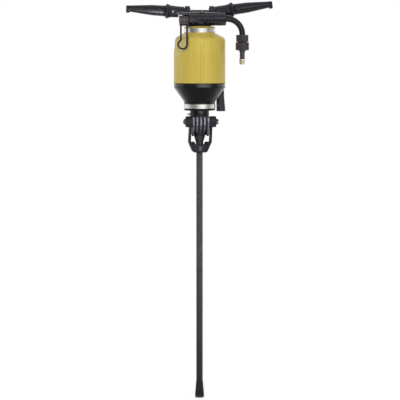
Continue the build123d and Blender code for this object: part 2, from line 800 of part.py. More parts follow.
def retainer_yoke():
    plate_top = yoke_bottom + YOKE_PLATE
    hook_top = plate_top + YOKE_HOOK
    leg_inner = yoke_inner + LEG_SET
    leg_outer = leg_inner + LEG_WIDTH
    chin = YOKE_CHIN
    cheek_z = yoke_bottom + YOKE_CHEEK
    pivot_y = -LUG_FORWARD
    outline = [
        (-leg_outer, pivot_z), (-leg_outer, cheek_z), (-chin, yoke_bottom),
        (chin, yoke_bottom), (leg_outer, cheek_z), (leg_outer, pivot_z),
        (leg_inner, pivot_z), (leg_inner, hook_top), (leg_inner - YOKE_HOOK_REACH, plate_top),
        (-leg_inner + YOKE_HOOK_REACH, plate_top), (-leg_inner, hook_top), (-leg_inner, pivot_z),
    ]
    hooks = [HOOK_EDGE_ROUND, HOOK_ROUND, HOOK_ROUND, HOOK_EDGE_ROUND]
    rounds = [0, YOKE_ROUND, YOKE_ROUND, YOKE_ROUND, YOKE_ROUND, 0, 0, *hooks, 0]
    front = front_profile(outline, pivot_y - EYE_D, YOKE_REAR, rounds)
    half = LEG_DEPTH / 2
    side = side_profile([
        (pivot_y - half, pivot_z), (-YOKE_FRONT, plate_top), (-YOKE_FRONT, yoke_bottom),
        (YOKE_REAR, yoke_bottom), (YOKE_REAR, plate_top), (YOKE_REAR - half, hook_top),
        (pivot_y + half, pivot_z),
    ], -eye_outer, eye_outer)
    body = front & side
    for left, right in ((-eye_outer, -yoke_inner), (yoke_inner, eye_outer)):
        body += along_x(EYE_D / 2, left, right, pivot_y, pivot_z)
    slot_half = COLLAR_NECK_D / 2 + SLOT_PLAY
    body -= upright(slot_half, yoke_bottom, hook_top)
    body -= block((-slot_half, slot_half), (0, YOKE_REAR), (yoke_bottom, hook_top))
    return body - along_x(BOLT_D / 2 + RUNNING_PLAY, -eye_outer, eye_outer, pivot_y, pivot_z)


def retainer_bolt():
    washer_end = eye_outer + SIDE_PLAY + WASHER_THICKNESS
    nut_end = washer_end + PIVOT_NUT_HEIGHT
    head = turned([
        (0, 0), (BOLT_HEAD_D / 2, 0), (BOLT_HEAD_D / 2, BOLT_HEAD_HEIGHT / 2),
        (BOLT_HEAD_D / 4, BOLT_HEAD_HEIGHT), (0, BOLT_HEAD_HEIGHT),
    ])
    bolt = along_x(BOLT_D / 2, -washer_end, washer_end, -LUG_FORWARD, pivot_z)
    bolt += along_x(BOLT_THREAD_D / 2, washer_end, nut_end, -LUG_FORWARD, pivot_z)
    bolt += Pos(-washer_end, -LUG_FORWARD, pivot_z) * Rot(0, -90, 0) * head
    return bolt - cotter_hole()


def cotter_hole():
    front = -LUG_FORWARD - PIVOT_NUT_AF
    back = -LUG_FORWARD + PIVOT_NUT_AF
    return along_y(COTTER_D / 2 + SEAT_PLAY, front, back, cotter_x(), pivot_z)


def cotter_x():
    return eye_outer + SIDE_PLAY + WASHER_THICKNESS + PIVOT_NUT_HEIGHT / 2


def retainer_nut():
    start = eye_outer + SIDE_PLAY + WASHER_THICKNESS
    nut = Rot(0, 90, 0) * hex_nut(PIVOT_NUT_AF, 0, PIVOT_NUT_HEIGHT)
    nut = Pos(start, -LUG_FORWARD, pivot_z) * nut
    nut -= along_x(BOLT_THREAD_D / 2 + SEAT_PLAY, start, start + PIVOT_NUT_HEIGHT, -LUG_FORWARD, pivot_z)
    return nut - cotter_hole()


def cotter_pin():
    half = PIVOT_NUT_AF / 2 / math.cos(math.pi / 6) + COTTER_D + COTTER_END
    front = -LUG_FORWARD - half
    pin = along_y(COTTER_D / 2, front, -LUG_FORWARD + half, cotter_x(), pivot_z)
    return pin + Pos(cotter_x(), front, pivot_z) * Sphere(COTTER_D)


def retainer_washers():
    start = eye_outer + SIDE_PLAY / 2
    end = eye_outer + SIDE_PLAY + WASHER_THICKNESS
    rings = []
    for left, right in ((-end, -start), (start, end)):
        rings.append(tube_x(WASHER_D / 2, BOLT_D / 2 + SEAT_PLAY, left, right, -LUG_FORWARD, pivot_z))
    return Compound(children=rings)


# Silencer
def recess(wall):
    """Shallow hollow on the front left, which leaves room for fingers behind the throttle lever."""
    radius = (RECESS_REACH ** 2 + RECESS_DEPTH ** 2) / (2 * RECESS_DEPTH)
    centre = body_r - RECESS_DEPTH + radius
    half = body_r
    cutter = along_y(radius + wall, -half, half, centre, shoulder_low)
    return Rot(0, 0, RECESS_ANGLE) * cutter


def shoulder_rise(radius):
    """Height of the shoulder's slope above its outer corner, at a radius."""
    return (body_r - radius) * SHOULDER / (body_r - neck_r)


def silencer_shell():
    slope = math.atan2(SHOULDER, body_r - neck_r)
    wall_drop = SILENCER_WALL / math.cos(slope)
    band_high = upper_band_z + BAND_WIDTH / 2
    tongue_r = rim_r - RIM_WALL - SEAT_PLAY
    tongue_low = cone_floor(rim_r - RIM_WALL) + LOOSE_PLAY
    inside_r = body_r - SILENCER_WALL
    bore = flange_r + SEAT_PLAY
    outside = turned([
        (0, tongue_low), (tongue_r, tongue_low), (tongue_r, joint_z), (rim_r, joint_z),
        (rim_r, joint_z + SHELL_BEAD), (body_r, joint_z + SHELL_BEAD + RIM_STEP),
        (body_r, shoulder_low), (neck_r, upper_neck_low), (neck_r, band_high),
        (lip_r, band_high), (lip_r, band_high + LIP_STEP), (bore + LIP_STEP, shell_top), (0, shell_top),
    ], [0, 0, 0, 0, LIP_STEP / 2, LIP_STEP / 2, SHOULDER_ROUND, NECK_ROUND, 0, 0, 0, 0, 0])
    inside = turned([
        (0, tongue_low), (inside_r, tongue_low),
        (inside_r, shoulder_low + shoulder_rise(inside_r) - wall_drop),
        (bore, shoulder_low + shoulder_rise(bore) - wall_drop), (bore, shell_top), (0, shell_top),
    ], [0, 0, SHOULDER_ROUND - SILENCER_WALL, 0, 0, 0])
    seam = block((body_r - SILENCER_WALL / 2, body_r + MOULD_RIB_PROUD),
                 (-MOULD_RIB_WIDTH / 2, MOULD_RIB_WIDTH / 2),
                 (joint_z + MOULD_RIB_END, shoulder_low - SHOULDER_ROUND))
    outside -= recess(0)
    inside -= recess(SILENCER_WALL)
    for turn in (0, 180):
        outside += Rot(0, 0, MOULD_RIB_ANGLE + turn) * seam
    return outside - inside


def cone_floor(radius):
    """Height of the cone's inner face at a radius."""
    run = rim_r - neck_r
    wall_rise = SILENCER_WALL / math.cos(math.atan2(CONE_HEIGHT, run))
    return cone_high - (rim_r - radius) * CONE_HEIGHT / run + wall_rise


def silencer_cone():
    band_low = lower_band_z - BAND_WIDTH / 2
    inside_r = rim_r - RIM_WALL
    bore = flange_r + SEAT_PLAY
    outside = turned([
        (0, joint_z), (rim_r, joint_z), (rim_r, cone_high), (neck_r, cone_low), (neck_r, band_low),
        (lip_r, band_low), (lip_r, cone_bottom), (0, cone_bottom),
    ], [0, LIP_STEP, 2 * LIP_STEP, CONE_ROUND, 0, 0, LIP_STEP, 0])
    inside = turned([
        (0, joint_z), (inside_r, joint_z), (inside_r, cone_floor(inside_r)), (bore, cone_floor(bore)),
        (bore, cone_bottom), (0, cone_bottom),
    ])
    x, y = polar(OUTLET_CENTRE, OUTLET_ANGLE)
    outer = OUTLET_D / 2
    spout_low = cone_bottom - OUTLET_TAIL
    spout = upright(outer, spout_low, cone_bottom + OUTLET_ROOT, x, y)
    bore_cut = upright(outer - OUTLET_WALL, spout_low, cone_bottom + OUTLET_ROOT - 2 * OUTLET_WALL, x, y)
    return outside + spout - inside - bore_cut


def clamp_place(height):
    return Pos(0, 0, height) * Rot(0, 0, CLAMP_ANGLE)


def clamp_band(height):
    """Clamp band with its overlapping end and its screw housing."""
    low = height - BAND_WIDTH / 2
    high = height + BAND_WIDTH / 2
    seat = neck_r + SEAT_PLAY
    outer = seat + BAND_THICKNESS
    band = tube(outer, seat, low, high)
    end = tube(outer + BAND_THICKNESS, outer, low, high)
    sweep_angle = CLAMP_ANGLE - BAND_END_ANGLE
    wedge = Pos(0, 0, low) * Rot(0, 0, BAND_END_ANGLE) * sector_slice(2 * outer, BAND_WIDTH, sweep_angle)
    band += end & wedge
    housing = block((seat + BAND_THICKNESS / 2, outer + CLAMP_HEIGHT), (-CLAMP_LENGTH / 2, CLAMP_LENGTH / 2),
                    (-BAND_WIDTH / 2, BAND_WIDTH / 2))
    housing -= along_y(CLAMP_SCREW_D / 2 + SEAT_PLAY, -CLAMP_LENGTH, CLAMP_LENGTH, clamp_screw_r(), 0)
    return band + clamp_place(height) * housing


def sector_slice(radius, height, angle):
    """Wedge of a cylinder from the X axis through an angle, standing on the XY plane."""
    return Cylinder(radius, height, arc_size=angle, align=(Align.NONE, Align.NONE, Align.MIN))


def clamp_screw_r():
    return neck_r + SEAT_PLAY + BAND_THICKNESS + CLAMP_HEIGHT / 2


def clamp_screws():
    screws = []
    for height in (lower_band_z, upper_band_z):
        half = CLAMP_LENGTH / 2
        screw = along_y(CLAMP_SCREW_D / 2, -half, half, clamp_screw_r(), 0)
        head = Pos(clamp_screw_r(), half, 0) * Rot(-90, 0, 0) * prism(CLAMP_HEAD_AF, 0, CLAMP_HEAD_LENGTH)
        screws.append(clamp_place(height) * (screw + head))
    return Compound(children=screws)


# Backhead and throttle
def seal_places():
    return CHEST_LEFT + SEAL_INSET, PLUG_RIGHT - SEAL_INSET


def backhead():
    body = upright(flange_r, cylinder_top, base_top)
    body += upright(PEDESTAL_D / 2, base_top, chest_z)
    body += along_x(CHEST_D / 2, CHEST_LEFT, CHEST_RIGHT, CHEST_Y, chest_z)
    body += along_x(CHEST_BOSS_D / 2, CHEST_RIGHT - CHEST_BOSS, CHEST_RIGHT, CHEST_Y, chest_z)
    pad = block((PAD_LEFT, PAD_RIGHT), (-PAD_DEPTH / 2, PAD_DEPTH / 2), (pad_low, pad_top))
    body += fillet(pad.edges().filter_by(Axis.Z) + pad.edges().group_by(Axis.Z)[-1], PAD_ROUND)
    half = RIB_LENGTH / 2
    pad_back = PAD_DEPTH / 2 - PAD_ROUND
    body += block((CHEST_LEFT, PAD_RIGHT - PAD_ROUND), (CHEST_Y, pad_back), (chest_z, pad_low))
    web_front = CHEST_Y + max(PLUG_D, STUB_LIP_D) / 2 + WEB_GAP
    body += block((WEB_LEFT, CHEST_LEFT), (web_front, pad_back), (chest_z, pad_low))
    rib = block((-half, half), (-RIB_DEPTH / 2, RIB_DEPTH / 2), (pad_low, pad_top + RIB_HEIGHT))
    body += fillet(rib.edges().group_by(Axis.Z)[-1], PAD_ROUND)
    body -= along_x(plug_r + RUNNING_PLAY, CHEST_LEFT, PLUG_RIGHT, CHEST_Y, chest_z)
    body -= along_x(INLET_BORE / 2, PLUG_RIGHT, CHEST_RIGHT, CHEST_Y, chest_z)
    cavity_top = cylinder_top + CAVITY_HEIGHT
    body -= upright(VALVE_INNER_D / 2, cylinder_top, cavity_top)
    body -= upright(AIR_PORT_D / 2, cavity_top, chest_z, 0, CHEST_Y)
    body -= upright(tube_r + SEAT_PLAY, cavity_top, cavity_top + TUBE_SEAT)
    for angle in rod_angles:
        x, y = polar(rod_circle, angle)
        body -= upright(ROD_D / 2 + SEAT_PLAY, cylinder_top, cylinder_top + ROD_DEPTH, x, y)
    for x in (-ARM_X, ARM_X):
        body -= upright(ARM_BOLT_D / 2 + SEAT_PLAY, pad_low, pad_top, x, 0)
    spot_r = OIL_PLUG_AF / 2 / math.cos(math.pi / 6) + LOOSE_PLAY
    body -= along_y(spot_r, -PAD_DEPTH / 2, -RIB_DEPTH / 2, OIL_PLUG_X, oil_plug_z())
    return body - oil_plug_thread(SEAT_PLAY)


def oil_plug_z():
    return pad_top + RIB_HEIGHT - OIL_PLUG_AF / 2 - LOOSE_PLAY


def oil_plug_thread(play):
    front = -RIB_DEPTH / 2
    return along_y(OIL_PLUG_D / 2 + play, front, front + OIL_PLUG_DEPTH, OIL_PLUG_X, oil_plug_z())


def oil_plug():
    head = Rot(90, 0, 0) * hex_nut(OIL_PLUG_AF, 0, OIL_PLUG_HEAD)
    return Pos(OIL_PLUG_X, -RIB_DEPTH / 2, oil_plug_z()) * head + oil_plug_thread(0)


def throttle_plug():
    body = along_x(plug_r, STUB_LEFT, PLUG_RIGHT + 2 * RING_THICKNESS, CHEST_Y, chest_z)
    lip_right = CHEST_LEFT - SIDE_PLAY
    body += along_x(STUB_LIP_D / 2, lip_right - STUB_LIP, lip_right, CHEST_Y, chest_z)
    body += along_x(STUB_LIP_D / 2, STUB_LEFT, STUB_LEFT + STUB_CAP, CHEST_Y, chest_z)
    for x in seal_places():
        body -= tube_x(plug_r + LOOSE_PLAY, plug_r - SEAL_SECTION, x, x + SEAL_SECTION, CHEST_Y, chest_z)
    ring_x = PLUG_RIGHT + SIDE_PLAY
    body -= tube_x(plug_r, plug_r - RING_STEP, ring_x, ring_x + RING_THICKNESS, CHEST_Y, chest_z)
    bore_left = -AIR_PORT_D / 2 - 2 * LOOSE_PLAY
    body -= along_x(PLUG_BORE / 2, bore_left, PLUG_RIGHT + 2 * RING_THICKNESS, CHEST_Y, chest_z)
    port = Rot(180 + THROTTLE_TRAVEL, 0, 0) * upright(AIR_PORT_D / 2, 0, plug_r + LOOSE_PLAY)
    body -= Pos(0, CHEST_Y, chest_z) * port
    hub = block((STUB_LEFT, CHEST_LEFT - SIDE_PLAY), (-HUB_THICKNESS / 2, HUB_THICKNESS / 2), (-HUB_REACH, 0))
    body += Pos(0, CHEST_Y, chest_z) * Rot(-lever_lean(), 0, 0) * hub
    left_leg, right_leg = lever_legs()
    body -= rod_between(left_leg[0], left_leg[1], LEVER_D / 2 + SEAT_PLAY)
    return body - rod_between(right_leg[0], right_leg[1], LEVER_D / 2 + SEAT_PLAY)


def rod_between(start, end, radius):
    line = Vector(*end) - Vector(*start)
    rod = Cylinder(radius, line.length, align=(Align.CENTER, Align.CENTER, Align.MIN))
    return Plane(start, z_dir=line) * rod


def lever_right():
    return CHEST_LEFT - LOOSE_PLAY - LEVER_D / 2


def lever_lean():
    """Lean of the legs that brings the bend of the right one clear of the silencer's side."""
    reach = body_r + LEVER_CLEAR + LEVER_D / 2
    bend_y = -math.sqrt(reach ** 2 - (lever_right() - LEVER_SPLAY) ** 2)
    return math.degrees(math.atan2(CHEST_Y - bend_y, LEG_DROP))


def lever_legs():
    """Ends of the centre lines of the lever's two legs, each from inside the hub down to the bend."""
    lean = math.tan(math.radians(lever_lean()))
    top = plug_r / 2
    bend_y = CHEST_Y - LEG_DROP * lean
    bend_z = chest_z - LEG_DROP
    right = lever_right()
    legs = []
    for x in (right - LEVER_WIDTH, right):
        above = top / LEG_DROP
        start = (x + LEVER_SPLAY * above, CHEST_Y + top * lean, chest_z + top)
        legs.append((start, (x - LEVER_SPLAY, bend_y, bend_z)))
    return legs


def throttle_lever():
    """Round rod loop: two legs lean forward over the shoulder, then the loop hangs down."""
    left_leg, right_leg = lever_legs()
    bend_y = left_leg[1][1]
    drop = math.tan(math.radians(LOOP_LEAN))
    low_z = chest_z - LOOP_DROP
    low_y = bend_y - (LOOP_DROP - LEG_DROP) * drop
    side_z = low_z + LOOP_RISE
    side_y = bend_y - (LOOP_DROP - LEG_DROP - LOOP_RISE) * drop
    bulge_x = left_leg[1][0] - LOOP_BULGE
    path = FilletPolyline(
        right_leg[0], right_leg[1], (right_leg[1][0], low_y, low_z), (bulge_x, low_y, low_z),
        (bulge_x, side_y, side_z), left_leg[1], left_leg[0],
        radius=[LEVER_BEND, LOOP_BEND, LOOP_BEND, KINK_BEND, KINK_BEND],
    )
    return sweep(Plane(path @ 0, z_dir=path % 0) * Circle(LEVER_D / 2), path=path)


def throttle_seals():
    rings = []
    for x in seal_places():
        rings.append(tube_x(plug_r, plug_r - SEAL_SECTION + SEAT_PLAY, x + SEAT_PLAY,
                            x + SEAL_SECTION - SEAT_PLAY, CHEST_Y, chest_z))
    return Compound(children=rings)


def throttle_ring():
    x = PLUG_RIGHT + SIDE_PLAY
    right = x + RING_THICKNESS - SEAT_PLAY
    ring = tube_x(plug_r + RING_STEP, plug_r - RING_STEP + SEAT_PLAY, x + SEAT_PLAY, right, CHEST_Y, chest_z)
    gap = block((x, right), (CHEST_Y - RING_STEP, CHEST_Y + RING_STEP), (chest_z, chest_z + PLUG_D))
    return ring - gap


# Air inlet
gland_left = CHEST_RIGHT - GLAND_LENGTH
collar_left = gland_left - SIDE_PLAY - PIPE_COLLAR
swivel_seal_left = collar_left - SIDE_PLAY - SWIVEL_SEAL
pipe_low = chest_z - PIPE_DROP
pipe_nut_low = pipe_low - PIPE_NUT_HEIGHT
union_top = pipe_nut_low - NUT_SPACE
union_low = union_top - UNION_HEIGHT
nipple_head_low = union_low + UNION_LIP
thread_low = pipe_nut_low - PIPE_THREAD


def inlet_pipe():
    bend_x = PIPE_X - PIPE_BEND
    half_bend = PIPE_BEND * math.sin(math.pi / 4)
    path = Wire([
        Edge.make_line((collar_left, CHEST_Y, chest_z), (bend_x, CHEST_Y, chest_z)),
        Edge.make_three_point_arc(
            (bend_x, CHEST_Y, chest_z),
            (bend_x + half_bend, CHEST_Y, chest_z - PIPE_BEND + half_bend),
            (PIPE_X, CHEST_Y, chest_z - PIPE_BEND)),
        Edge.make_line((PIPE_X, CHEST_Y, chest_z - PIPE_BEND), (PIPE_X, CHEST_Y, pipe_nut_low)),
    ])
    start = Plane((collar_left, CHEST_Y, chest_z), z_dir=(1, 0, 0))
    outside = sweep(start * Circle(pipe_r), path=path)
    inside = sweep(start * Circle(PIPE_BORE / 2), path=path)
    outside += along_x(PIPE_COLLAR_D / 2, collar_left, collar_left + PIPE_COLLAR, CHEST_Y, chest_z)
    return outside - inside


def swivel_gland():
    outer = INLET_BORE / 2 - SEAT_PLAY
    ring = tube_x(outer, pipe_r + RUNNING_PLAY, gland_left, CHEST_RIGHT, CHEST_Y, chest_z)
    hole_r = (outer - pipe_r) / 4
    for side in (-1, 1):
        hole_y = CHEST_Y + side * (outer + pipe_r) / 2
        ring -= along_x(hole_r, CHEST_RIGHT - GLAND_WALL, CHEST_RIGHT, hole_y, chest_z)
    return ring


def swivel_seal():
    outer = INLET_BORE / 2 - SEAT_PLAY
    right = swivel_seal_left + SWIVEL_SEAL
    return tube_x(outer, PIPE_BORE / 2, swivel_seal_left, right, CHEST_Y, chest_z)


def inlet_strainer():
    outer = INLET_BORE / 2 - STRAINER_GAP
    left = PLUG_RIGHT + 4 * RING_THICKNESS
    body = tube_x(outer, outer - STRAINER_WALL, left, swivel_seal_left, CHEST_Y, chest_z)
    flange_left = swivel_seal_left - STRAINER_FLANGE
    inner = outer - STRAINER_WALL
    body += tube_x(INLET_BORE / 2 - SEAT_PLAY, inner, flange_left, swivel_seal_left, CHEST_Y, chest_z)
    spacing = (flange_left - left) / (STRAINER_ROWS + 1)
    for row in range(STRAINER_ROWS):
        x = left + (row + 1) * spacing
        for k in range(STRAINER_HOLES):
            hole = Rot(k * 360 / STRAINER_HOLES, 0, 0) * upright(STRAINER_HOLE_D / 2, 0, INLET_BORE / 2)
            body -= Pos(x, CHEST_Y, chest_z) * hole
    return body


def pipe_nut():
    body = hex_nut(PIPE_NUT_AF, pipe_nut_low, pipe_low, PIPE_X, CHEST_Y, NUT_TURN)
    body += upright(PIPE_THREAD_D / 2, thread_low, pipe_nut_low, PIPE_X, CHEST_Y)
    body -= upright(pipe_r + SEAT_PLAY, pipe_nut_low, pipe_low, PIPE_X, CHEST_Y)
    return body - upright(PIPE_BORE / 2, thread_low, pipe_nut_low, PIPE_X, CHEST_Y)


def union_nut():
    body = hex_nut(UNION_AF, union_low, union_top, PIPE_X, CHEST_Y, NUT_TURN)
    body -= upright(PIPE_THREAD_D / 2 + SEAT_PLAY, nipple_head_low, union_top, PIPE_X, CHEST_Y)
    return body - upright(PIPE_THREAD_D / 2 - UNION_LIP / 2, union_low, nipple_head_low, PIPE_X, CHEST_Y)


def nipple_gasket():
    outer = PIPE_THREAD_D / 2
    ring = upright(outer, thread_low - GASKET, thread_low, PIPE_X, CHEST_Y)
    return ring - upright(PIPE_BORE / 2, thread_low - GASKET, thread_low, PIPE_X, CHEST_Y)


def hose_nipple():
    head_top_z = thread_low - GASKET
    outer = NIPPLE_D / 2
    collar = PIPE_THREAD_D / 2 - UNION_LIP / 2 - SEAT_PLAY
    cone_end = union_low - NIPPLE_CONE
    end = cone_end - NIPPLE_LENGTH
    body = turned([
        (0, end), (outer - NIPPLE_CHAMFER, end), (outer, end + NIPPLE_CHAMFER), (outer, cone_end),
        (collar, union_low), (collar, nipple_head_low), (PIPE_THREAD_D / 2, nipple_head_low),
        (PIPE_THREAD_D / 2, head_top_z), (0, head_top_z),
    ])
    body -= upright(NIPPLE_BORE / 2, end, head_top_z)
    return Pos(PIPE_X, CHEST_Y, 0) * body


# Handles
class Side:
    """What differs between the two arms: the tilt, the pin's place and where the underside starts."""

    def __init__(self, tilt, pin, underside):
        self.tilt = tilt
        self.pin = pin
        self.underside = underside


left_side = Side(LEFT_TILT, LEFT_PIN, ARM_GAP - min(STUB_LEFT, PAD_LEFT))
right_end = max(CHEST_RIGHT, PAD_RIGHT) + ARM_GAP
right_side = Side(RIGHT_TILT, right_end - ARM_X + PIN_INSET, right_end)


def arm_axis(tilt):
    """Place on the right arm's axis, at the arm bolt, with X out along the grip."""
    return Pos(ARM_X, 0, pad_top - ARM_RISE_Z) * Rot(0, -tilt, 0)


def lying(points):
    """Solid of revolution about the X axis from (radius, distance) points."""
    return Rot(0, 90, 0) * turned(points)


def handle_arm(side):
    """Arm with its foot on the pad, its socket for the grip stem and the guard in front of the grip."""
    body = lying([
        (0, ARM_TOP_START), (SOCKET_START_D / 2, ARM_TOP_START), (SOCKET_START_D / 2, side.underside - ARM_X),
        (SOCKET_END_D / 2, SOCKET_END), (GUARD_D / 2, GUARD_PEAK), (GUARD_END_D / 2, GUARD_END),
        (0, GUARD_END),
    ])
    body = arm_axis(side.tilt) * body
    body -= block((0, side.underside), (-GUARD_D, GUARD_D), (0, pad_top))
    half = FOOT_WIDTH / 2
    seat_z = pad_top + FOOT_THICKNESS
    foot = block((FOOT_INNER, FOOT_OUTER), (-half, half), (pad_top, seat_z))
    body += fillet(foot.edges().filter_by(Axis.Z), FOOT_ROUND)
    body -= upright(ARM_WASHER_D / 2 + LOOSE_PLAY, seat_z, seat_z + GUARD_D, ARM_X, 0)
    body -= upright(ARM_BOLT_D / 2 + SEAT_PLAY, pad_top, seat_z, ARM_X, 0)
    hole = along_x(STEM_TUBE_D / 2 + SEAT_PLAY, side.pin - PIN_INSET, GUARD_END, 0, 0)
    hole += along_y(GRIP_PIN_D / 2 + SEAT_PLAY, -SOCKET_END_D, SOCKET_END_D, side.pin, 0)
    return body - arm_axis(side.tilt) * hole


def grip_stem(side):
    body = tube_x(STEM_TUBE_D / 2, STEM_TUBE_BORE / 2, side.pin - PIN_INSET, STEM_TUBE_END, 0, 0)
    body -= along_y(GRIP_PIN_D / 2 + SEAT_PLAY, -STEM_TUBE_D, STEM_TUBE_D, side.pin, 0)
    return arm_axis(side.tilt) * body


def grip_pin(side):
    """Hollow spring pin through the arm's socket and the grip's stem."""
    half = SOCKET_START_D / 2
    pin = along_y(GRIP_PIN_D / 2, -half, half, side.pin, 0)
    pin -= along_y(GRIP_PIN_BORE / 2, -half, half, side.pin, 0)
    return arm_axis(side.tilt) * pin


def grip(side):
    """Tapered rubber grip with a lip on the underside of its end."""
    root = GUARD_END + SIDE_PLAY
    edge = Spline(
        (GRIP_ROOT_D / 2, root), (GRIP_BELLY_D / 2, GRIP_BELLY), (GRIP_MIDDLE_D / 2, GRIP_MIDDLE),
        (GRIP_TIP_D / 2, GRIP_TIP), tangents=[(0, 1), (-0.1, 1)])
    outline = make_face([
        edge, Polyline((GRIP_TIP_D / 2, GRIP_TIP), (GRIP_TIP_D / 2, GRIP_END), (0, GRIP_END), (0, root),
                       (GRIP_ROOT_D / 2, root)),
    ])
    body = Rot(0, 90, 0) * revolve(Plane.XZ * outline, Axis.Z)
    lip = along_x(GRIP_LIP_D / 2, GRIP_TIP, GRIP_END, 0, -GRIP_LIP_DROP)
    body += fillet(lip.edges().filter_by(GeomType.CIRCLE), GRIP_LIP_ROUND)
    body -= along_x(STEM_TUBE_D / 2 + SEAT_PLAY, root, STEM_TUBE_END, 0, 0)
    return arm_axis(side.tilt) * body


def on_left(make):
    return mirror(make(left_side), about=Plane.YZ)


def arm_bolts():
    seat_z = pad_top + FOOT_THICKNESS + ARM_WASHER
    bolts = []
    for x in (-ARM_X, ARM_X):
        bolt = hex_nut(ARM_BOLT_AF, seat_z, seat_z + ARM_BOLT_HEAD, x, 0, 30)
        bolts.append(bolt + upright(ARM_BOLT_D / 2, pad_low, seat_z, x, 0))
    return Compound(children=bolts)


def arm_washers():
    low = pad_top + FOOT_THICKNESS
    rings = [Pos(x, 0, 0) * tube(ARM_WASHER_D / 2, ARM_BOLT_D / 2 + SEAT_PLAY, low, low + ARM_WASHER)
             for x in (-ARM_X, ARM_X)]
    return Compound(children=rings)


def all_parts():
    return {
        "drill_steel": drill_steel(),
        "bit_insert": bit_insert(),
        "chuck_bush": chuck_bush(),
        "rotation_sleeve": rotation_sleeve(),
        "front_bush": front_bush(),
        "piston": piston(),
        "rifle_nut": rifle_nut(),
        "stem_bush": stem_bush(),
        "rifle_bar": rifle_bar(),
        "pawls": pawls(),
        "pawl_plungers": pawl_plungers(),
        "ratchet_ring": ratchet_ring(),
        "blow_tube": blow_tube(),
        "valve_seat": valve_seat(),
        "valve_plate": valve_plate(),
        "valve_box": valve_box(),
        "cylinder": cylinder(),
        "side_rods": side_rods(),
        "side_rod_nuts": side_rod_nuts(),
        "front_head": front_head(),
        "grease_fitting": grease_fitting(),
        "retainer_yoke": retainer_yoke(),
        "retainer_bolt": retainer_bolt(),
        "retainer_nut": retainer_nut(),
        "retainer_washers": retainer_washers(),
        "cotter_pin": cotter_pin(),
        "silencer_shell": silencer_shell(),
        "silencer_cone": silencer_cone(),
        "upper_band": clamp_band(upper_band_z),
        "lower_band": clamp_band(lower_band_z),
        "clamp_screws": clamp_screws(),
        "backhead": backhead(),
        "oil_plug": oil_plug(),
        "throttle_plug": throttle_plug(),
        "throttle_lever": throttle_lever(),
        "throttle_seals": throttle_seals(),
        "throttle_ring": throttle_ring(),
        "inlet_pipe": inlet_pipe(),
        "swivel_gland": swivel_gland(),
        "swivel_seal": swivel_seal(),
        "inlet_strainer": inlet_strainer(),
        "pipe_nut": pipe_nut(),
        "union_nut": union_nut(),
        "nipple_gasket": nipple_gasket(),
        "hose_nipple": hose_nipple(),
        "left_arm": on_left(handle_arm),
        "right_arm": handle_arm(right_side),
        "left_grip_stem": on_left(grip_stem),
        "right_grip_stem": grip_stem(right_side),
        "left_grip_pin": on_left(grip_pin),
        "right_grip_pin": grip_pin(right_side),
        "left_grip": on_left(grip),
        "right_grip": grip(right_side),
        "arm_bolts": arm_bolts(),
        "arm_washers": arm_washers(),
    }


def main():
    os.makedirs("parts", exist_ok=True)
    for name, shape in all_parts().items():
        export_step(shape, f"parts/{name}.step")


if __name__ == "__main__":
    main()
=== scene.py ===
import json
import math
from collections import namedtuple

import bmesh
import bpy
from mathutils import Matrix, Vector, noise


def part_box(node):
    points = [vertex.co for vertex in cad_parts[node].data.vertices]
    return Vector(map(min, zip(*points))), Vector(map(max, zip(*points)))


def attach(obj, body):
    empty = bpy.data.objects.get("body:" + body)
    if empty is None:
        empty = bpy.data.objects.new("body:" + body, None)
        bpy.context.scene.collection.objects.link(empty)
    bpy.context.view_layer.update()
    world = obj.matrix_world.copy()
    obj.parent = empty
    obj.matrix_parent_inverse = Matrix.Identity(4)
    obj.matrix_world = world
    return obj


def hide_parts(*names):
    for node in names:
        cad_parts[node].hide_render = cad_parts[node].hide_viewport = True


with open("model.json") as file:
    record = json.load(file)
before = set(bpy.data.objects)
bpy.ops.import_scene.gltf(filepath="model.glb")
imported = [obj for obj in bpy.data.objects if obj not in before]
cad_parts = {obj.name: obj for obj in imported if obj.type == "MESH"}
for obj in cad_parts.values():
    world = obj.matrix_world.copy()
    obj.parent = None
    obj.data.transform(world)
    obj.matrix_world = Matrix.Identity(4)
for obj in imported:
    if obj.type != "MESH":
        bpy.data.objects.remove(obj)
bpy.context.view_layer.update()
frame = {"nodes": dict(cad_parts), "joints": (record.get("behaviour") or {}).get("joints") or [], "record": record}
nodes = frame["nodes"]
scene = bpy.context.scene
MM = 0.001


def in_mm(point):
    """A point of the frame, which is in metres, as millimetres."""
    return tuple(round(value / MM, 2) for value in point)


def box_mm(node):
    """Lowest and highest corner of a CAD node at rest, in millimetres."""
    low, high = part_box(node)
    return in_mm(low), in_mm(high)


pivots = {joint["name"]: in_mm(joint["pos_m"]) for joint in frame["joints"] if joint["type"] == "hinge"}
mounts = {mount["name"]: in_mm(mount["pos_m"]) for mount in frame["record"]["mounts"]}


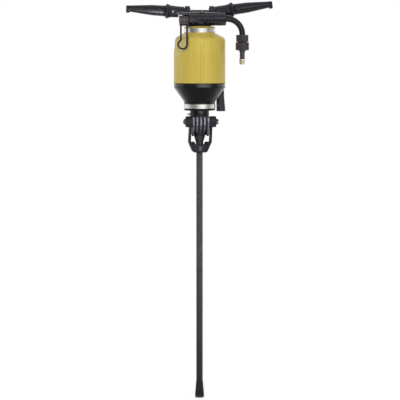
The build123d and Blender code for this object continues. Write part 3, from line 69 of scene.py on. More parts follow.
# Shader building
class Graph:
    """Short calls for the nodes of a material or a world."""

    def __init__(self, tree):
        self.tree = tree

    def add(self, kind, **settings):
        node = self.tree.nodes.new(kind)
        for key, value in settings.items():
            setattr(node, key, value)
        return node

    def feed(self, socket, value):
        """Links a socket to another node's, or sets it to a plain value."""
        if isinstance(value, bpy.types.NodeSocket):
            self.tree.links.new(value, socket)
        else:
            socket.default_value = value

    def spread(self, value, low, high, to_low=0.0, to_high=1.0):
        """Maps low..high to to_low..to_high, held at the ends."""
        node = self.add("ShaderNodeMapRange", clamp=True)
        self.feed(node.inputs["Value"], value)
        node.inputs["From Min"].default_value = low
        node.inputs["From Max"].default_value = high
        node.inputs["To Min"].default_value = to_low
        node.inputs["To Max"].default_value = to_high
        return node.outputs["Result"]

    def math(self, operation, a, b):
        node = self.add("ShaderNodeMath", operation=operation)
        self.feed(node.inputs[0], a)
        self.feed(node.inputs[1], b)
        return node.outputs[0]

    def times(self, a, b):
        return self.math("MULTIPLY", a, b)

    def plus(self, a, b):
        return self.math("ADD", a, b)

    def larger(self, a, b):
        return self.math("MAXIMUM", a, b)

    def dot(self, a, b):
        node = self.add("ShaderNodeVectorMath", operation="DOT_PRODUCT")
        self.feed(node.inputs[0], a)
        self.feed(node.inputs[1], b)
        return node.outputs["Value"]

    def axes(self, vector):
        """The X, Y and Z of a vector."""
        node = self.add("ShaderNodeSeparateXYZ")
        self.feed(node.inputs[0], vector)
        return node.outputs


# Painted highlight on the upper part of the front head's rib crests, in metres. Each pair runs from where it fades
# to where it is full
CREST_SPACING = 0.014125
CREST_ASIDE = (0.0044, 0.0026)
CREST_FRONT = (-0.03, -0.04)
CREST_RISE = (0.992, 1.048)
CREST_TOP = (1.0735, 1.0705)


class Shader(Graph):
    """A material with a Principled BSDF, and short calls for the nodes that feed it."""

    def __init__(self, name):
        self.material = bpy.data.materials.new(name)
        self.material.use_nodes = True
        super().__init__(self.material.node_tree)
        self.bsdf = self.tree.nodes["Principled BSDF"]
        self.place = self.add("ShaderNodeTexCoord").outputs["Object"]

    def scaled(self, x, y, z):
        """The place on the object, stretched along the axes."""
        node = self.add("ShaderNodeMapping")
        self.feed(node.inputs["Vector"], self.place)
        node.inputs["Scale"].default_value = (x, y, z)
        return node.outputs["Vector"]

    def noise(self, scale, detail=4.0, roughness=0.55, distortion=0.0, place=None):
        node = self.add("ShaderNodeTexNoise")
        self.feed(node.inputs["Vector"], self.place if place is None else place)
        node.inputs["Scale"].default_value = scale
        node.inputs["Detail"].default_value = detail
        node.inputs["Roughness"].default_value = roughness
        node.inputs["Distortion"].default_value = distortion
        return node.outputs["Fac"]

    def cells(self, scale):
        """Distance to the nearest of many scattered points: a pebbled skin."""
        node = self.add("ShaderNodeTexVoronoi")
        self.feed(node.inputs["Vector"], self.place)
        node.inputs["Scale"].default_value = scale
        return node.outputs["Distance"]

    def mix(self, share, a, b):
        node = self.add("ShaderNodeMix", data_type="RGBA")
        self.feed(node.inputs[0], share)
        self.feed(node.inputs[6], a)
        self.feed(node.inputs[7], b)
        return node.outputs[2]

    def rounded(self, radius):
        """Surface normal with the edges rounded to a radius."""
        node = self.add("ShaderNodeBevel", samples=6)
        node.inputs["Radius"].default_value = radius
        return node.outputs["Normal"]

    def edges(self, radius):
        """Near 1 along edges, 0 on open faces."""
        level = self.dot(self.rounded(radius), self.add("ShaderNodeNewGeometry").outputs["Normal"])
        return self.spread(level, 0.99, 0.80)

    def nooks(self, reach):
        """Near 1 in corners and gaps, where shade falls, 0 in the open."""
        node = self.add("ShaderNodeAmbientOcclusion", samples=6)
        node.inputs["Distance"].default_value = reach
        return self.spread(node.outputs["AO"], 0.9, 0.25)

    def facing_up(self):
        """1 on what faces up, 0 on upright and hanging faces."""
        return self.spread(self.axes(self.add("ShaderNodeNewGeometry").outputs["Normal"])["Z"], 0.2, 0.95)

    def rib_crest_highlight(self):
        """1 on the upper part of the front head's rib crests, where the painted highlight goes, 0 in the grooves
        between them.
        """
        axes = self.axes(self.place)
        aside = self.math("PINGPONG", self.plus(axes["X"], 2 * CREST_SPACING), CREST_SPACING / 2)
        crest_highlight = self.times(self.spread(aside, *CREST_ASIDE), self.spread(axes["Y"], *CREST_FRONT))
        lit = self.times(self.spread(axes["Z"], *CREST_RISE, 0.12, 1.0), self.spread(axes["Z"], *CREST_TOP))
        patchy = self.spread(self.noise(75), 0.35, 0.65, 0.45, 1.0)
        return self.times(self.times(lit, patchy), crest_highlight)

    def bump(self, height, strength, distance, normal):
        node = self.add("ShaderNodeBump")
        self.feed(node.inputs["Height"], height)
        node.inputs["Strength"].default_value = strength
        node.inputs["Distance"].default_value = distance
        self.feed(node.inputs["Normal"], normal)
        return node.outputs["Normal"]

    def finish(self, colour, roughness, normal=None, metallic=0.0, specular=0.5, sheen=0.0):
        self.feed(self.bsdf.inputs["Base Color"], colour)
        self.feed(self.bsdf.inputs["Roughness"], roughness)
        self.feed(self.bsdf.inputs["Metallic"], metallic)
        self.bsdf.inputs["Specular IOR Level"].default_value = specular
        self.bsdf.inputs["Sheen Weight"].default_value = sheen
        self.bsdf.inputs["Sheen Roughness"].default_value = 0.3
        if normal is not None:
            self.feed(self.bsdf.inputs["Normal"], normal)
        return self.material


def rgb(red, green, blue):
    """Colour as seen on screen, 0 to 255, turned into the linear values that shaders take."""
    linear = []
    for value in (red, green, blue):
        value /= 255
        linear.append(value / 12.92 if value <= 0.04045 else ((value + 0.055) / 1.055) ** 2.4)
    return (*linear, 1.0)


# Finishes: noise scales are per metre, bump distances and edge radii are in metres
def moulded(name, main, dark, pale, gloss, specular, sheen=0.0):
    """Moulded polyurethane: cloudy colour, faint flow lines, dirt and painted shade in the nooks, and small
    scuffs.
    """
    look = Shader(name)
    clouds = look.spread(look.noise(11, 5, 0.6), 0.35, 0.7)
    colour = look.mix(clouds, main, dark)
    flow = look.noise(1.0, 3, 0.5, place=look.scaled(55, 55, 5))
    colour = look.mix(look.spread(flow, 0.4, 0.75, 0.0, 0.5), colour, pale)
    speck = look.spread(look.noise(1400, 2), 0.62, 0.78, 0.0, 0.35)
    colour = look.mix(speck, colour, dark)
    scratches = look.noise(1.0, 6, 0.7, 1.2, look.scaled(260, 260, 70))
    scuff = look.times(look.spread(scratches, 0.64, 0.72), look.spread(look.noise(18, 2), 0.5, 0.68))
    colour = look.mix(look.times(scuff, 0.35), colour, pale)
    # Dirt and painted shade: darker in the nooks
    grime_and_shade = look.times(look.nooks(0.012), look.spread(look.noise(60), 0.3, 0.7, 0.35, 0.9))
    colour = look.mix(look.times(grime_and_shade, 0.6), colour, rgb(58, 50, 34))
    roughness = look.spread(look.noise(35), 0.3, 0.7, gloss - 0.05, gloss + 0.07)
    roughness = look.plus(roughness, look.times(scuff, 0.15))
    normal = look.bump(look.noise(38, 2), 0.25, 0.0006, look.rounded(0.0008))
    normal = look.bump(look.noise(1100, 2), 0.12, 0.0002, normal)
    return look.finish(colour, roughness, normal, specular=specular, sheen=sheen)


def painted_casting(name, dark, pale, bare, crest_highlight=None, gloss=0.3, specular=0.32, grain=0.22):
    """Black enamel over a sand casting, dusty on top and worn to the iron along its edges."""
    look = Shader(name)
    colour = look.mix(look.spread(look.noise(40), 0.3, 0.7), dark, pale)
    dust = look.times(look.facing_up(), look.spread(look.noise(120, 5, 0.65), 0.42, 0.75))
    colour = look.mix(look.times(dust, 0.3), colour, rgb(112, 109, 110))
    # Painted highlight: a lighter colour on the upper part of the rib crests, when one is given
    if crest_highlight:
        colour = look.mix(look.rib_crest_highlight(), colour, crest_highlight)
    rubbed = look.spread(look.noise(110, 5, 0.65), 0.35, 0.65, 0.25, 0.6)
    colour = look.mix(look.times(look.edges(0.004), rubbed), colour, rgb(66, 66, 74))
    worn = look.times(look.edges(0.0018), look.spread(look.noise(170, 5, 0.7), 0.44, 0.6))
    colour = look.mix(look.times(worn, bare), colour, rgb(118, 116, 120))
    # Dirt and painted shade: near black in the nooks
    grime_and_shade = look.times(look.nooks(0.014), look.spread(look.noise(90), 0.3, 0.7, 0.5, 1.0))
    colour = look.mix(look.times(grime_and_shade, 0.85), colour, rgb(11, 10, 10))
    roughness = look.spread(look.noise(75), 0.3, 0.7, gloss, gloss + 0.14)
    roughness = look.plus(roughness, look.times(dust, 0.25))
    skin = look.plus(look.noise(650, 3, 0.6), look.times(look.cells(390), 0.5))
    normal = look.bump(skin, grain, 0.0004, look.rounded(0.0012))
    return look.finish(colour, roughness, normal, look.times(worn, 0.6), specular)


def smooth_paint(name, dark, pale):
    """Black paint on drawn or bent steel, chipped here and there."""
    look = Shader(name)
    colour = look.mix(look.spread(look.noise(55), 0.3, 0.7), dark, pale)
    chips = look.spread(look.noise(240, 5, 0.75), 0.62, 0.67)
    chips = look.times(chips, look.spread(look.noise(30, 2), 0.45, 0.62))
    rubbed = look.times(look.edges(0.001), look.spread(look.noise(200), 0.42, 0.6))
    worn = look.larger(look.times(chips, 0.8), rubbed)
    colour = look.mix(look.times(worn, 0.7), colour, rgb(118, 110, 106))
    roughness = look.spread(look.noise(90), 0.3, 0.7, 0.24, 0.36)
    normal = look.bump(look.noise(420, 3), 0.15, 0.0003, look.rounded(0.0006))
    return look.finish(colour, roughness, normal, look.times(worn, 0.6), 0.28)


def forged(name, dark, pale, metallic, bottom_shade=0.0, specular=0.5):
    """Forged steel with mill scale: dark, blotched, streaked along its length, edges rubbed bright."""
    look = Shader(name)
    colour = look.mix(look.spread(look.noise(70, 6, 0.65), 0.35, 0.7), dark, pale)
    streak = look.spread(look.noise(1.0, 5, 0.6, place=look.scaled(420, 420, 14)), 0.45, 0.75)
    colour = look.mix(look.times(streak, 0.35), colour, rgb(98, 96, 101))
    rust = look.spread(look.noise(150, 6, 0.7), 0.58, 0.72)
    rust = look.times(rust, look.spread(look.noise(14, 2), 0.45, 0.65))
    colour = look.mix(look.times(rust, 0.55), colour, rgb(86, 58, 42))
    worn = look.times(look.edges(0.0014), look.spread(look.noise(160), 0.4, 0.6))
    colour = look.mix(look.times(worn, 0.6), colour, rgb(150, 146, 146))
    # Painted shade: darker in the nooks
    colour = look.mix(look.times(look.nooks(0.008), 0.6), colour, rgb(28, 25, 24))
    # Painted shade: darker towards the bottom
    height = look.axes(look.place)["Z"]
    colour = look.mix(look.spread(height, 0.03, 0.55, bottom_shade, 0.0), colour, rgb(20, 19, 21))
    roughness = look.spread(look.noise(130, 5), 0.3, 0.7, 0.42, 0.62)
    skin = look.plus(look.noise(380, 4, 0.6), look.times(streak, 0.6))
    normal = look.bump(skin, 0.25, 0.0004, look.rounded(0.0009))
    return look.finish(colour, roughness, normal, look.spread(rust, 0.0, 1.0, metallic, 0.1), specular)


def bright_metal(name, main, other, gloss, stretch, grain, dirt_and_shade=0.5):
    """Bare metal: brushed grain along one direction, soft patches, and dirt and painted shade in the nooks."""
    look = Shader(name)
    colour = look.mix(look.spread(look.noise(90), 0.35, 0.7), main, other)
    lines = look.noise(1.0, 4, 0.6, place=look.scaled(*stretch))
    colour = look.mix(look.spread(lines, 0.45, 0.8, 0.0, 0.4), colour, other)
    # Dirt and painted shade: darker in the nooks
    grime_and_shade = look.times(look.nooks(0.005), look.spread(look.noise(260), 0.3, 0.7, 0.3, 1.0))
    colour = look.mix(look.times(grime_and_shade, dirt_and_shade), colour, rgb(60, 52, 44))
    roughness = look.spread(lines, 0.3, 0.75, gloss - 0.06, gloss + 0.08)
    roughness = look.plus(roughness, look.times(grime_and_shade, 0.3))
    normal = look.bump(lines, grain, 0.00015, look.rounded(0.0004))
    return look.finish(colour, roughness, normal, 1.0)


def blackened(name, dark, pale, tint):
    """Black oxide on a machined nut, rubbed along the corners, with a trace of rust."""
    look = Shader(name)
    colour = look.mix(look.spread(look.noise(120, 5), 0.3, 0.7), dark, pale)
    rust = look.spread(look.noise(210, 6, 0.7), 0.5, 0.66)
    rust = look.times(rust, look.spread(look.noise(45, 3), 0.42, 0.6))
    colour = look.mix(look.times(rust, 0.6), colour, tint)
    worn = look.times(look.edges(0.0012), look.spread(look.noise(180), 0.38, 0.58))
    colour = look.mix(look.times(worn, 0.7), colour, rgb(140, 136, 134))
    # Painted shade: darker in the nooks
    colour = look.mix(look.times(look.nooks(0.006), 0.6), colour, rgb(24, 21, 20))
    roughness = look.spread(look.noise(160), 0.3, 0.7, 0.36, 0.54)
    normal = look.bump(look.noise(700, 3), 0.15, 0.0003, look.rounded(0.0007))
    return look.finish(colour, roughness, normal, look.spread(rust, 0.0, 1.0, 0.5, 0.1))


def rubber(name, main, other, gloss, pebble):
    """Moulded rubber with a fine pebbled skin and a dusty bloom."""
    look = Shader(name)
    colour = look.mix(look.spread(look.noise(50, 5), 0.3, 0.7), main, other)
    bloom = look.spread(look.noise(130, 6, 0.7), 0.5, 0.75)
    colour = look.mix(look.times(bloom, 0.35), colour, rgb(96, 93, 96))
    # Painted shade: darker in the nooks
    colour = look.mix(look.times(look.nooks(0.006), 0.5), colour, rgb(18, 16, 15))
    roughness = look.spread(look.noise(210), 0.3, 0.7, gloss - 0.02, gloss + 0.05)
    normal = look.bump(look.cells(pebble), 0.012, 0.0002, look.rounded(0.0008))
    normal = look.bump(look.noise(60, 2), 0.05, 0.0005, normal)
    return look.finish(colour, roughness, normal, specular=0.3)


# Directions of the grain of bare metal, as scales along X, Y and Z
AROUND = (30, 30, 2600)
ALONG = (900, 900, 40)
ACROSS = (300, 900, 900)
finishes = {
    "silencer_yellow": moulded("silencer_yellow", rgb(190, 169, 71), rgb(183, 159, 61), rgb(198, 180, 93),
                               0.34, 0.42),
    # Darker copy of the yellow for the lip under the backhead: painted shade
    "lip_yellow": moulded("lip_yellow", rgb(154, 142, 61), rgb(144, 130, 51), rgb(166, 154, 77), 0.42, 0.3),
    "rim_black": moulded("rim_black", rgb(12, 11, 14), rgb(9, 8, 11), rgb(20, 19, 23), 0.22, 0.5, sheen=1.0),
    # Lighter copy of the cone's black for the outlet: painted light
    "outlet_black": moulded("outlet_black", rgb(32, 31, 36), rgb(22, 21, 26), rgb(74, 72, 80), 0.3, 0.34,
                            sheen=1.0),
    "silencer_black": moulded("silencer_black", rgb(12, 11, 14), rgb(9, 8, 11), rgb(20, 19, 23), 0.2, 0.09,
                              sheen=1.0),
    "black_paint": painted_casting("black_paint", rgb(19, 18, 27), rgb(30, 29, 40), 0.7),
    "chest_paint": painted_casting("chest_paint", rgb(12, 11, 20), rgb(22, 21, 33), 0.5,
                                   gloss=0.2, specular=0.52, grain=0.04),
    # Darker copy of the black paint for the casting under the throttle chest: painted shade
    "oily_black": painted_casting("oily_black", rgb(10, 9, 12), rgb(16, 15, 19), 0.2,
                                  gloss=0.4, specular=0.12, grain=0.1),
    # Black paint of the front head, with a painted highlight on its rib crests
    "front_head_paint": painted_casting("front_head_paint", rgb(18, 18, 25), rgb(29, 28, 38), 0.8,
                                        crest_highlight=rgb(152, 152, 167)),
    "black_rod": smooth_paint("black_rod", rgb(22, 20, 21), rgb(33, 31, 34)),
    "black_nuts": blackened("black_nuts", rgb(60, 56, 60), rgb(82, 78, 83), rgb(92, 66, 50)),
    "forged_black": forged("forged_black", rgb(60, 58, 63), rgb(78, 76, 82), 0.5, bottom_shade=1.0),
    "yoke_black": forged("yoke_black", rgb(17, 17, 20), rgb(29, 28, 33), 0.12, specular=0.28),
    "nub_steel": forged("nub_steel", rgb(88, 88, 96), rgb(118, 118, 126), 0.4),
    "stainless": bright_metal("stainless", rgb(236, 235, 230), rgb(218, 216, 211), 0.37, AROUND, 0.25,
                              dirt_and_shade=0.3),
    "grip_rubber": rubber("grip_rubber", rgb(16, 15, 22), rgb(25, 24, 34), 0.33, 900),
    "seal_rubber": rubber("seal_rubber", rgb(24, 24, 25), rgb(34, 33, 34), 0.5, 1600),
    "zinc_steel": bright_metal("zinc_steel", rgb(244, 243, 237), rgb(226, 224, 214), 0.42, (160,) * 3, 0.3),
    "bolt_steel": bright_metal("bolt_steel", rgb(108, 104, 104), rgb(80, 76, 75), 0.36, (240,) * 3, 0.4,
                               dirt_and_shade=0.8),
    "bronze": bright_metal("bronze", rgb(176, 138, 82), rgb(140, 104, 60), 0.34, AROUND, 0.3),
    "hardened_steel": bright_metal("hardened_steel", rgb(170, 170, 172), rgb(136, 136, 140), 0.28, AROUND,
                                   0.25),
    "cylinder_iron": bright_metal("cylinder_iron", rgb(116, 114, 114), rgb(84, 82, 82), 0.5, ALONG, 0.6),
    "machined_iron": bright_metal("machined_iron", rgb(176, 174, 172), rgb(140, 138, 138), 0.4, ACROSS, 0.4),
    "carbide": bright_metal("carbide", rgb(70, 69, 73), rgb(48, 47, 51), 0.45, (700,) * 3, 0.5),
}
slots = {part["node"]: part["material_slot"] for part in frame["record"]["subparts"]}
other_finish = {
    "throttle_lever": "black_rod",
    "inlet_pipe": "black_rod",
    "arm_bolts": "black_nuts",
    "arm_washers": "black_nuts",
    "side_rods": "black_nuts",
    "side_rod_nuts": "black_nuts",
    "oil_plug": "bolt_steel",
    "cotter_pin": "zinc_steel",
    "backhead": "chest_paint",
    "front_head": "front_head_paint",
    "retainer_yoke": "yoke_black",
}


def finish_of(node):
    """The finish of a node: its slot's, or another one where the photo shows it."""
    return finishes[other_finish.get(node, slots[node])]


for name, obj in nodes.items():
    obj.data.materials.clear()
    obj.data.materials.append(finish_of(name))


# Modelling
def turned_to(line):
    """Turn that brings Z onto a line."""
    return line.to_track_quat("Z", "Y").to_matrix().to_4x4()


class Form:
    """Mesh under construction, in millimetres, in the shared frame."""

    def __init__(self, *copied):
        self.bm = bmesh.new()
        for node in copied:
            self.bm.from_mesh(nodes[node].data)
        bmesh.ops.scale(self.bm, vec=(1 / MM,) * 3, verts=self.bm.verts)

    def rod(self, start, end, radius, sides=48):
        start, end = Vector(start), Vector(end)
        place = Matrix.Translation((start + end) / 2) @ turned_to(end - start)
        bmesh.ops.create_cone(self.bm, cap_ends=True, segments=sides, radius1=radius, radius2=radius,
                              depth=(end - start).length, matrix=place)

    def slab(self, low, high):
        low, high = Vector(low), Vector(high)
        place = Matrix.Translation((low + high) / 2) @ Matrix.Diagonal((*(high - low), 1))
        bmesh.ops.create_cube(self.bm, size=1, matrix=place)

    def ball(self, centre, size):
        place = Matrix.Translation(centre) @ Matrix.Diagonal((*size, 1))
        bmesh.ops.create_uvsphere(self.bm, u_segments=32, v_segments=16, radius=1, matrix=place)

    def lathe(self, section, place=Matrix.Identity(4), sides=64, shape=None):
        """Turns a closed (radius, height) section about Z. shape(radius, height, angle) may change radii."""
        rings = []
        for k in range(sides):
            angle = 2 * math.pi * k / sides
            ring = []
            for radius, height in section:
                far = radius if shape is None else shape(radius, height, angle)
                point = Vector((far * math.cos(angle), far * math.sin(angle), height))
                ring.append(self.bm.verts.new(place @ point))
            rings.append(ring)
        count = len(section)
        for k in range(sides):
            here, there = rings[k], rings[(k + 1) % sides]
            for i in range(count):
                j = (i + 1) % count
                self.bm.faces.new((here[i], there[i], there[j], here[j]))

    def ring(self, start, end, outer, inner):
        line = Vector(end) - Vector(start)
        section = [(inner, 0), (outer, 0), (outer, line.length), (inner, line.length)]
        self.lathe(section, Matrix.Translation(start) @ turned_to(line), sides=48)

    def object(self, name):
        """The mesh as an object of the scene, in metres."""
        bmesh.ops.scale(self.bm, vec=(MM,) * 3, verts=self.bm.verts)
        bmesh.ops.recalc_face_normals(self.bm, faces=self.bm.faces)
        mesh = bpy.data.meshes.new(name)
        self.bm.to_mesh(mesh)
        self.bm.free()
        mesh.shade_smooth()
        obj = bpy.data.objects.new(name, mesh)
        scene.collection.objects.link(obj)
        return obj

    def skin(self, name, voxel, passes):
        """One closed skin over all that was added, with its corners softened."""
        obj = self.object(name)
        remesh = obj.modifiers.new("skin", "REMESH")
        remesh.mode = "VOXEL"
        remesh.voxel_size = voxel * MM
        soft = obj.modifiers.new("soft", "SMOOTH")
        soft.factor = 0.5
        soft.iterations = passes
        mesh = bpy.data.meshes.new_from_object(obj.evaluated_get(bpy.context.evaluated_depsgraph_get()))
        obj.modifiers.clear()
        rough = obj.data
        obj.data = mesh
        bpy.data.meshes.remove(rough)
        mesh.name = name
        mesh.shade_smooth()
        return obj


BORE_PLAY, BORE_SHRINK = 0.3, 1.6


def clear_bore(obj, point, axis, radius, low, high):
    """Presses a softened bore back to its radius, so that what turns in it stays free."""
    point, axis = Vector(point), Vector(axis).normalized()
    for vertex in obj.data.vertices:
        place = vertex.co / MM - point
        along = place.dot(axis)
        if low <= along <= high:
            out = place - axis * along
            if radius - BORE_SHRINK < out.length < radius + BORE_PLAY:
                vertex.co = (point + axis * along + out.normalized() * (radius + BORE_PLAY)) * MM


def seat(obj, body, node, finish=None):
    """The piece takes the place of a CAD node."""
    obj.data.materials.append(finishes[finish] if finish else finish_of(node))
    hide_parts(node)
    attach(obj, body)


def add_finish(obj, finish, chosen):
    """One more finish for the faces whose middle, in millimetres, chosen(place) picks."""
    index = len(obj.data.materials)
    obj.data.materials.append(finishes[finish])
    for face in obj.data.polygons:
        if chosen(face.center / MM):
            face.material_index = index


ARC_STEPS = 8


def rounded_line(points, step):
    """Line through (radius, height, rounding) points, with its corners rounded, cut into short steps."""
    corners = [Vector(point[:2]) for point in points]
    line = []
    for k, point in enumerate(corners):
        rounding = points[k][2]
        if rounding == 0:
            line.append(point)
            continue
        before = (corners[k - 1] - point).normalized()
        after = (corners[k + 1] - point).normalized()
        half = before.angle(after) / 2
        centre = point + (before + after).normalized() * rounding / math.sin(half)
        start = point + before * rounding / math.tan(half) - centre
        end = point + after * rounding / math.tan(half) - centre
        turn = start.angle_signed(end)
        for i in range(ARC_STEPS + 1):
            line.append(centre + Matrix.Rotation(-turn * i / ARC_STEPS, 2) @ start)
    fine = []
    for a, b in zip(line, line[1:]):
        parts = max(1, round((b - a).length / step))
        fine.extend(a.lerp(b, i / parts) for i in range(parts))
    return [(point.x, point.y) for point in fine + [line[-1]]]


def soft_min(a, b, reach):
    """The smaller of two values, blended where they are nearly the same."""
    overlap = max(reach - abs(a - b), 0) / reach
    return min(a, b) - overlap * overlap * reach / 4


def smooth_step(value, low, high):
    """0 up to low, 1 from high on, smooth between them."""
    share = min(max((value - low) / (high - low), 0), 1)
    return share * share * (3 - 2 * share)


# Places shared by several pieces
(_, _, OUTLET_LOW), (RIM_R, _, JOINT_Z) = box_mm("silencer_cone")
(_, _, BAND_LOW), (_, _, BAND_TOP) = box_mm("upper_band")
SHELL_TOP = box_mm("silencer_shell")[1][2]
NECK_R = 58.42
_, CHEST_Y, CHEST_Z = pivots["throttle_turn"]
_, PIVOT_Y, PIVOT_Z = pivots["retainer_swing"]

# Silencer shell: hollow behind the throttle lever, flat mould seams, waves in the moulded wall
BODY_R, SEAT_R, LIP_R, SHELL_BORE_R, WALL = 97.5, 93.2, 59.22, 54.52, 4.5
NECK_Z = BAND_LOW - 3
SHOULDER_Z = NECK_Z - 20
SCOOP_ANGLE, SCOOP_DEPTH, SCOOP_REACH, SCOOP_BLEND = math.radians(197), 21.0, 66.0, 5.0
SCOOP_R = (SCOOP_REACH ** 2 + SCOOP_DEPTH ** 2) / (2 * SCOOP_DEPTH)
SCOOP_INNER_R, SCOOP_LEAST_COSINE = NECK_R + 6, 0.3
DETAIL_INNER_R = BODY_R - 7.5
SEAM_ANGLES = (math.radians(90), math.radians(270))
SEAM_HALF, SEAM_PROUD, SEAM_EDGE = 5.5, 0.8, 0.6
SEAM_STARTS, SEAM_ENDS = (JOINT_Z + 6, JOINT_Z + 9), (SHOULDER_Z - 10.7, SHOULDER_Z - 2.7)
GROOVE_AT, GROOVE_DEPTH, GROOVE_SIDE = 6.4, 0.9, (0.2, 1.3)
WAVE, WAVE_TURNS, WAVE_LENGTH, WAVE_STARTS = 0.22, 2.2, 60, (JOINT_Z + 5, JOINT_Z + 20)
LIP_DIP, LIP_DIP_Z, LIP_FRONT, SHADED_LIP_EDGE = 0.6, BAND_TOP + 1, (0.3, 1.0), 0.4


def shell_radius(radius, height, angle):
    """Radius of the shell's section at an angle: with the hollow, and outside also the seams and waves."""
    outside = radius > BODY_R - WALL / 2 or height > SHOULDER_Z and radius > LIP_R
    if height < SHOULDER_Z + SCOOP_REACH / 2 and radius > SCOOP_INNER_R:
        cosine = math.cos(angle - SCOOP_ANGLE)
        if cosine > SCOOP_LEAST_COSINE:
            rise = min(abs(height - SHOULDER_Z), SCOOP_R)
            depth = 0 if outside else WALL
            middle = BODY_R - SCOOP_DEPTH - depth + SCOOP_R - math.sqrt(SCOOP_R ** 2 - rise ** 2)
            radius = soft_min(radius, middle / cosine, SCOOP_BLEND)
    if outside and radius > DETAIL_INNER_R:
        ends = smooth_step(height, *SEAM_STARTS) * (1 - smooth_step(height, *SEAM_ENDS))
        for seam in SEAM_ANGLES:
            aside = abs(math.remainder(angle - seam, 2 * math.pi)) * radius
            strip = 1 - smooth_step(aside, SEAM_HALF - SEAM_EDGE, SEAM_HALF + SEAM_EDGE)
            groove = 1 - smooth_step(abs(aside - GROOVE_AT), *GROOVE_SIDE)
            radius += (SEAM_PROUD * strip - GROOVE_DEPTH * groove) * ends
        around = (math.cos(angle) * WAVE_TURNS, math.sin(angle) * WAVE_TURNS, height / WAVE_LENGTH)
        radius += WAVE * noise.noise(Vector(around)) * smooth_step(height, *WAVE_STARTS)
    return radius


def silencer_shell():
    """Shell turned from its section, with a lip that dips towards the sides."""
    outer = rounded_line([
        (SEAT_R, JOINT_Z + 0.05, 0), (RIM_R, JOINT_Z + 0.05, 0.5), (RIM_R, JOINT_Z + 3.6, 0.8),
        (BODY_R, JOINT_Z + 5.2, 0.8), (BODY_R, SHOULDER_Z, 18), (NECK_R, NECK_Z, 4.5),
        (NECK_R, BAND_TOP, 0.1), (LIP_R, BAND_TOP + 0.3, 0.1), (LIP_R, SHELL_TOP - 3, 1.4),
        (SHELL_BORE_R + 1.2, SHELL_TOP, 0.3), (SHELL_BORE_R, SHELL_TOP, 0)], step=2)
    inner = rounded_line([
        (SHELL_BORE_R, SHELL_TOP - 1, 0), (SHELL_BORE_R, NECK_Z - 6, 3), (BODY_R - WALL, SHOULDER_Z - 8, 12),
        (BODY_R - WALL, JOINT_Z + 2, 0)], step=8)
    shell = Form()
    shell.lathe(outer + inner, sides=720, shape=shell_radius)
    piece = shell.object("silencer_shell_moulding")
    for vertex in piece.data.vertices:
        rise = vertex.co.z / MM - LIP_DIP_Z
        if rise > 0:
            facing = abs(vertex.co.y) / math.hypot(vertex.co.x, vertex.co.y)
            vertex.co.z -= rise * LIP_DIP * (1 - smooth_step(facing, *LIP_FRONT)) * MM
    seat(piece, "machine", "silencer_shell")
    # Painted shade: the lip above the upper band takes the darker copy of the yellow
    add_finish(piece, "lip_yellow", lambda place: place.z > BAND_TOP + SHADED_LIP_EDGE)


silencer_shell()

# Silencer cone: bead above the lower band, rim tilted in towards the joint, outlet flared at its lower end
OUTLET_X, OUTLET_Y, _ = mounts["exhaust_outlet"]
OUTLET_R, OUTLET_TOP, OUTLET_FLARE = 19.0, 1160.0, 0.14
BEAD_LOW = box_mm("lower_band")[1][2] + 1.4
BEAD_HIGH = BEAD_LOW + 5
RIM_PULL, RIM_TALL, RIM_PULL_R, RIM_INNER_R = 2.0, 15, RIM_R - 2.5, RIM_R - 4


def in_outlet(place):
    return place.z < OUTLET_TOP and math.hypot(place.x - OUTLET_X, place.y - OUTLET_Y) < OUTLET_R


def on_rim_or_bead(place):
    far = math.hypot(place.x, place.y)
    rim = place.z > JOINT_Z - RIM_TALL - 1 and far > RIM_INNER_R
    bead = BEAD_LOW < place.z < BEAD_HIGH and far > NECK_R
    return (rim or bead) and not in_outlet(place)


def silencer_cone():
    cone = Form("silencer_cone")
    cone.lathe([(57.5, BEAD_LOW), (59.3, BEAD_LOW + 0.4), (60.2, BEAD_LOW + 1.9), (59.3, BEAD_LOW + 3.4),
                (57.5, BEAD_LOW + 4.2)])
    piece = cone.skin("silencer_cone_moulding", voxel=1.15, passes=9)
    for vertex in piece.data.vertices:
        place = vertex.co / MM
        far = math.hypot(place.x, place.y)
        if far > RIM_PULL_R and place.z > JOINT_Z - RIM_TALL - 5:
            pull = RIM_PULL * min(max((place.z - JOINT_Z + RIM_TALL) / RIM_TALL, 0), 1)
            vertex.co.x *= 1 - pull / far
            vertex.co.y *= 1 - pull / far
        elif in_outlet(place):
            flare = OUTLET_FLARE * smooth_step(OUTLET_TOP - place.z, 0, OUTLET_TOP - OUTLET_LOW)
            vertex.co.x += flare * (place.x - OUTLET_X + OUTLET_R) * MM
    seat(piece, "machine", "silencer_cone")
    # Painted light: the outlet takes a lighter copy of the cone's black
    add_finish(piece, "outlet_black", in_outlet)
    add_finish(piece, "rim_black", on_rim_or_bead)


silencer_cone()

# Backhead: fuller front of the throttle chest, mould line, gusset feet, machined pad edge
CHEST_LEFT, CHEST_RIGHT, CHEST_END = -43, 51, 96
CHEST_RODS, CHEST_ROD_R, CHEST_ARC_R, CHEST_ARC = 24, 5.0, 19.0, 135
CHEST_ARC_Z = CHEST_Z - 0.5
LINE_LOW, LINE_TOP = CHEST_Z - 0.8, CHEST_Z + 0.8
PLUG_BORE, PLUG_RING_R, PLUG_RING_BORE_R = (13.05, -46, 37), 22.6, 13.4
BELLY_HALF, BELLY_LOW, BELLY_TOP = 15, SHELL_TOP + 0.9, CHEST_Z - 17
FOOT_X, FOOT_HALF, FOOT_FRONT, FOOT_BACK, FOOT_LOW, FOOT_TOP = 27, 3.5, -46, -15, 1409, 1424
PAD_RIB, PAD_ROUND, PAD_SIDE = 8, 3.2, 21.5
PAD_TOP = box_mm("backhead")[1][2] - PAD_RIB


def on_pad_edge(place):
    high = PAD_TOP - PAD_ROUND < place.z < PAD_TOP + 0.5
    return high and (abs(place.y) > PAD_SIDE or place.z > PAD_TOP - 0.4)


def under_chest(place):
    return place.z < BELLY_TOP + 1 and place.x < CHEST_RIGHT - 1


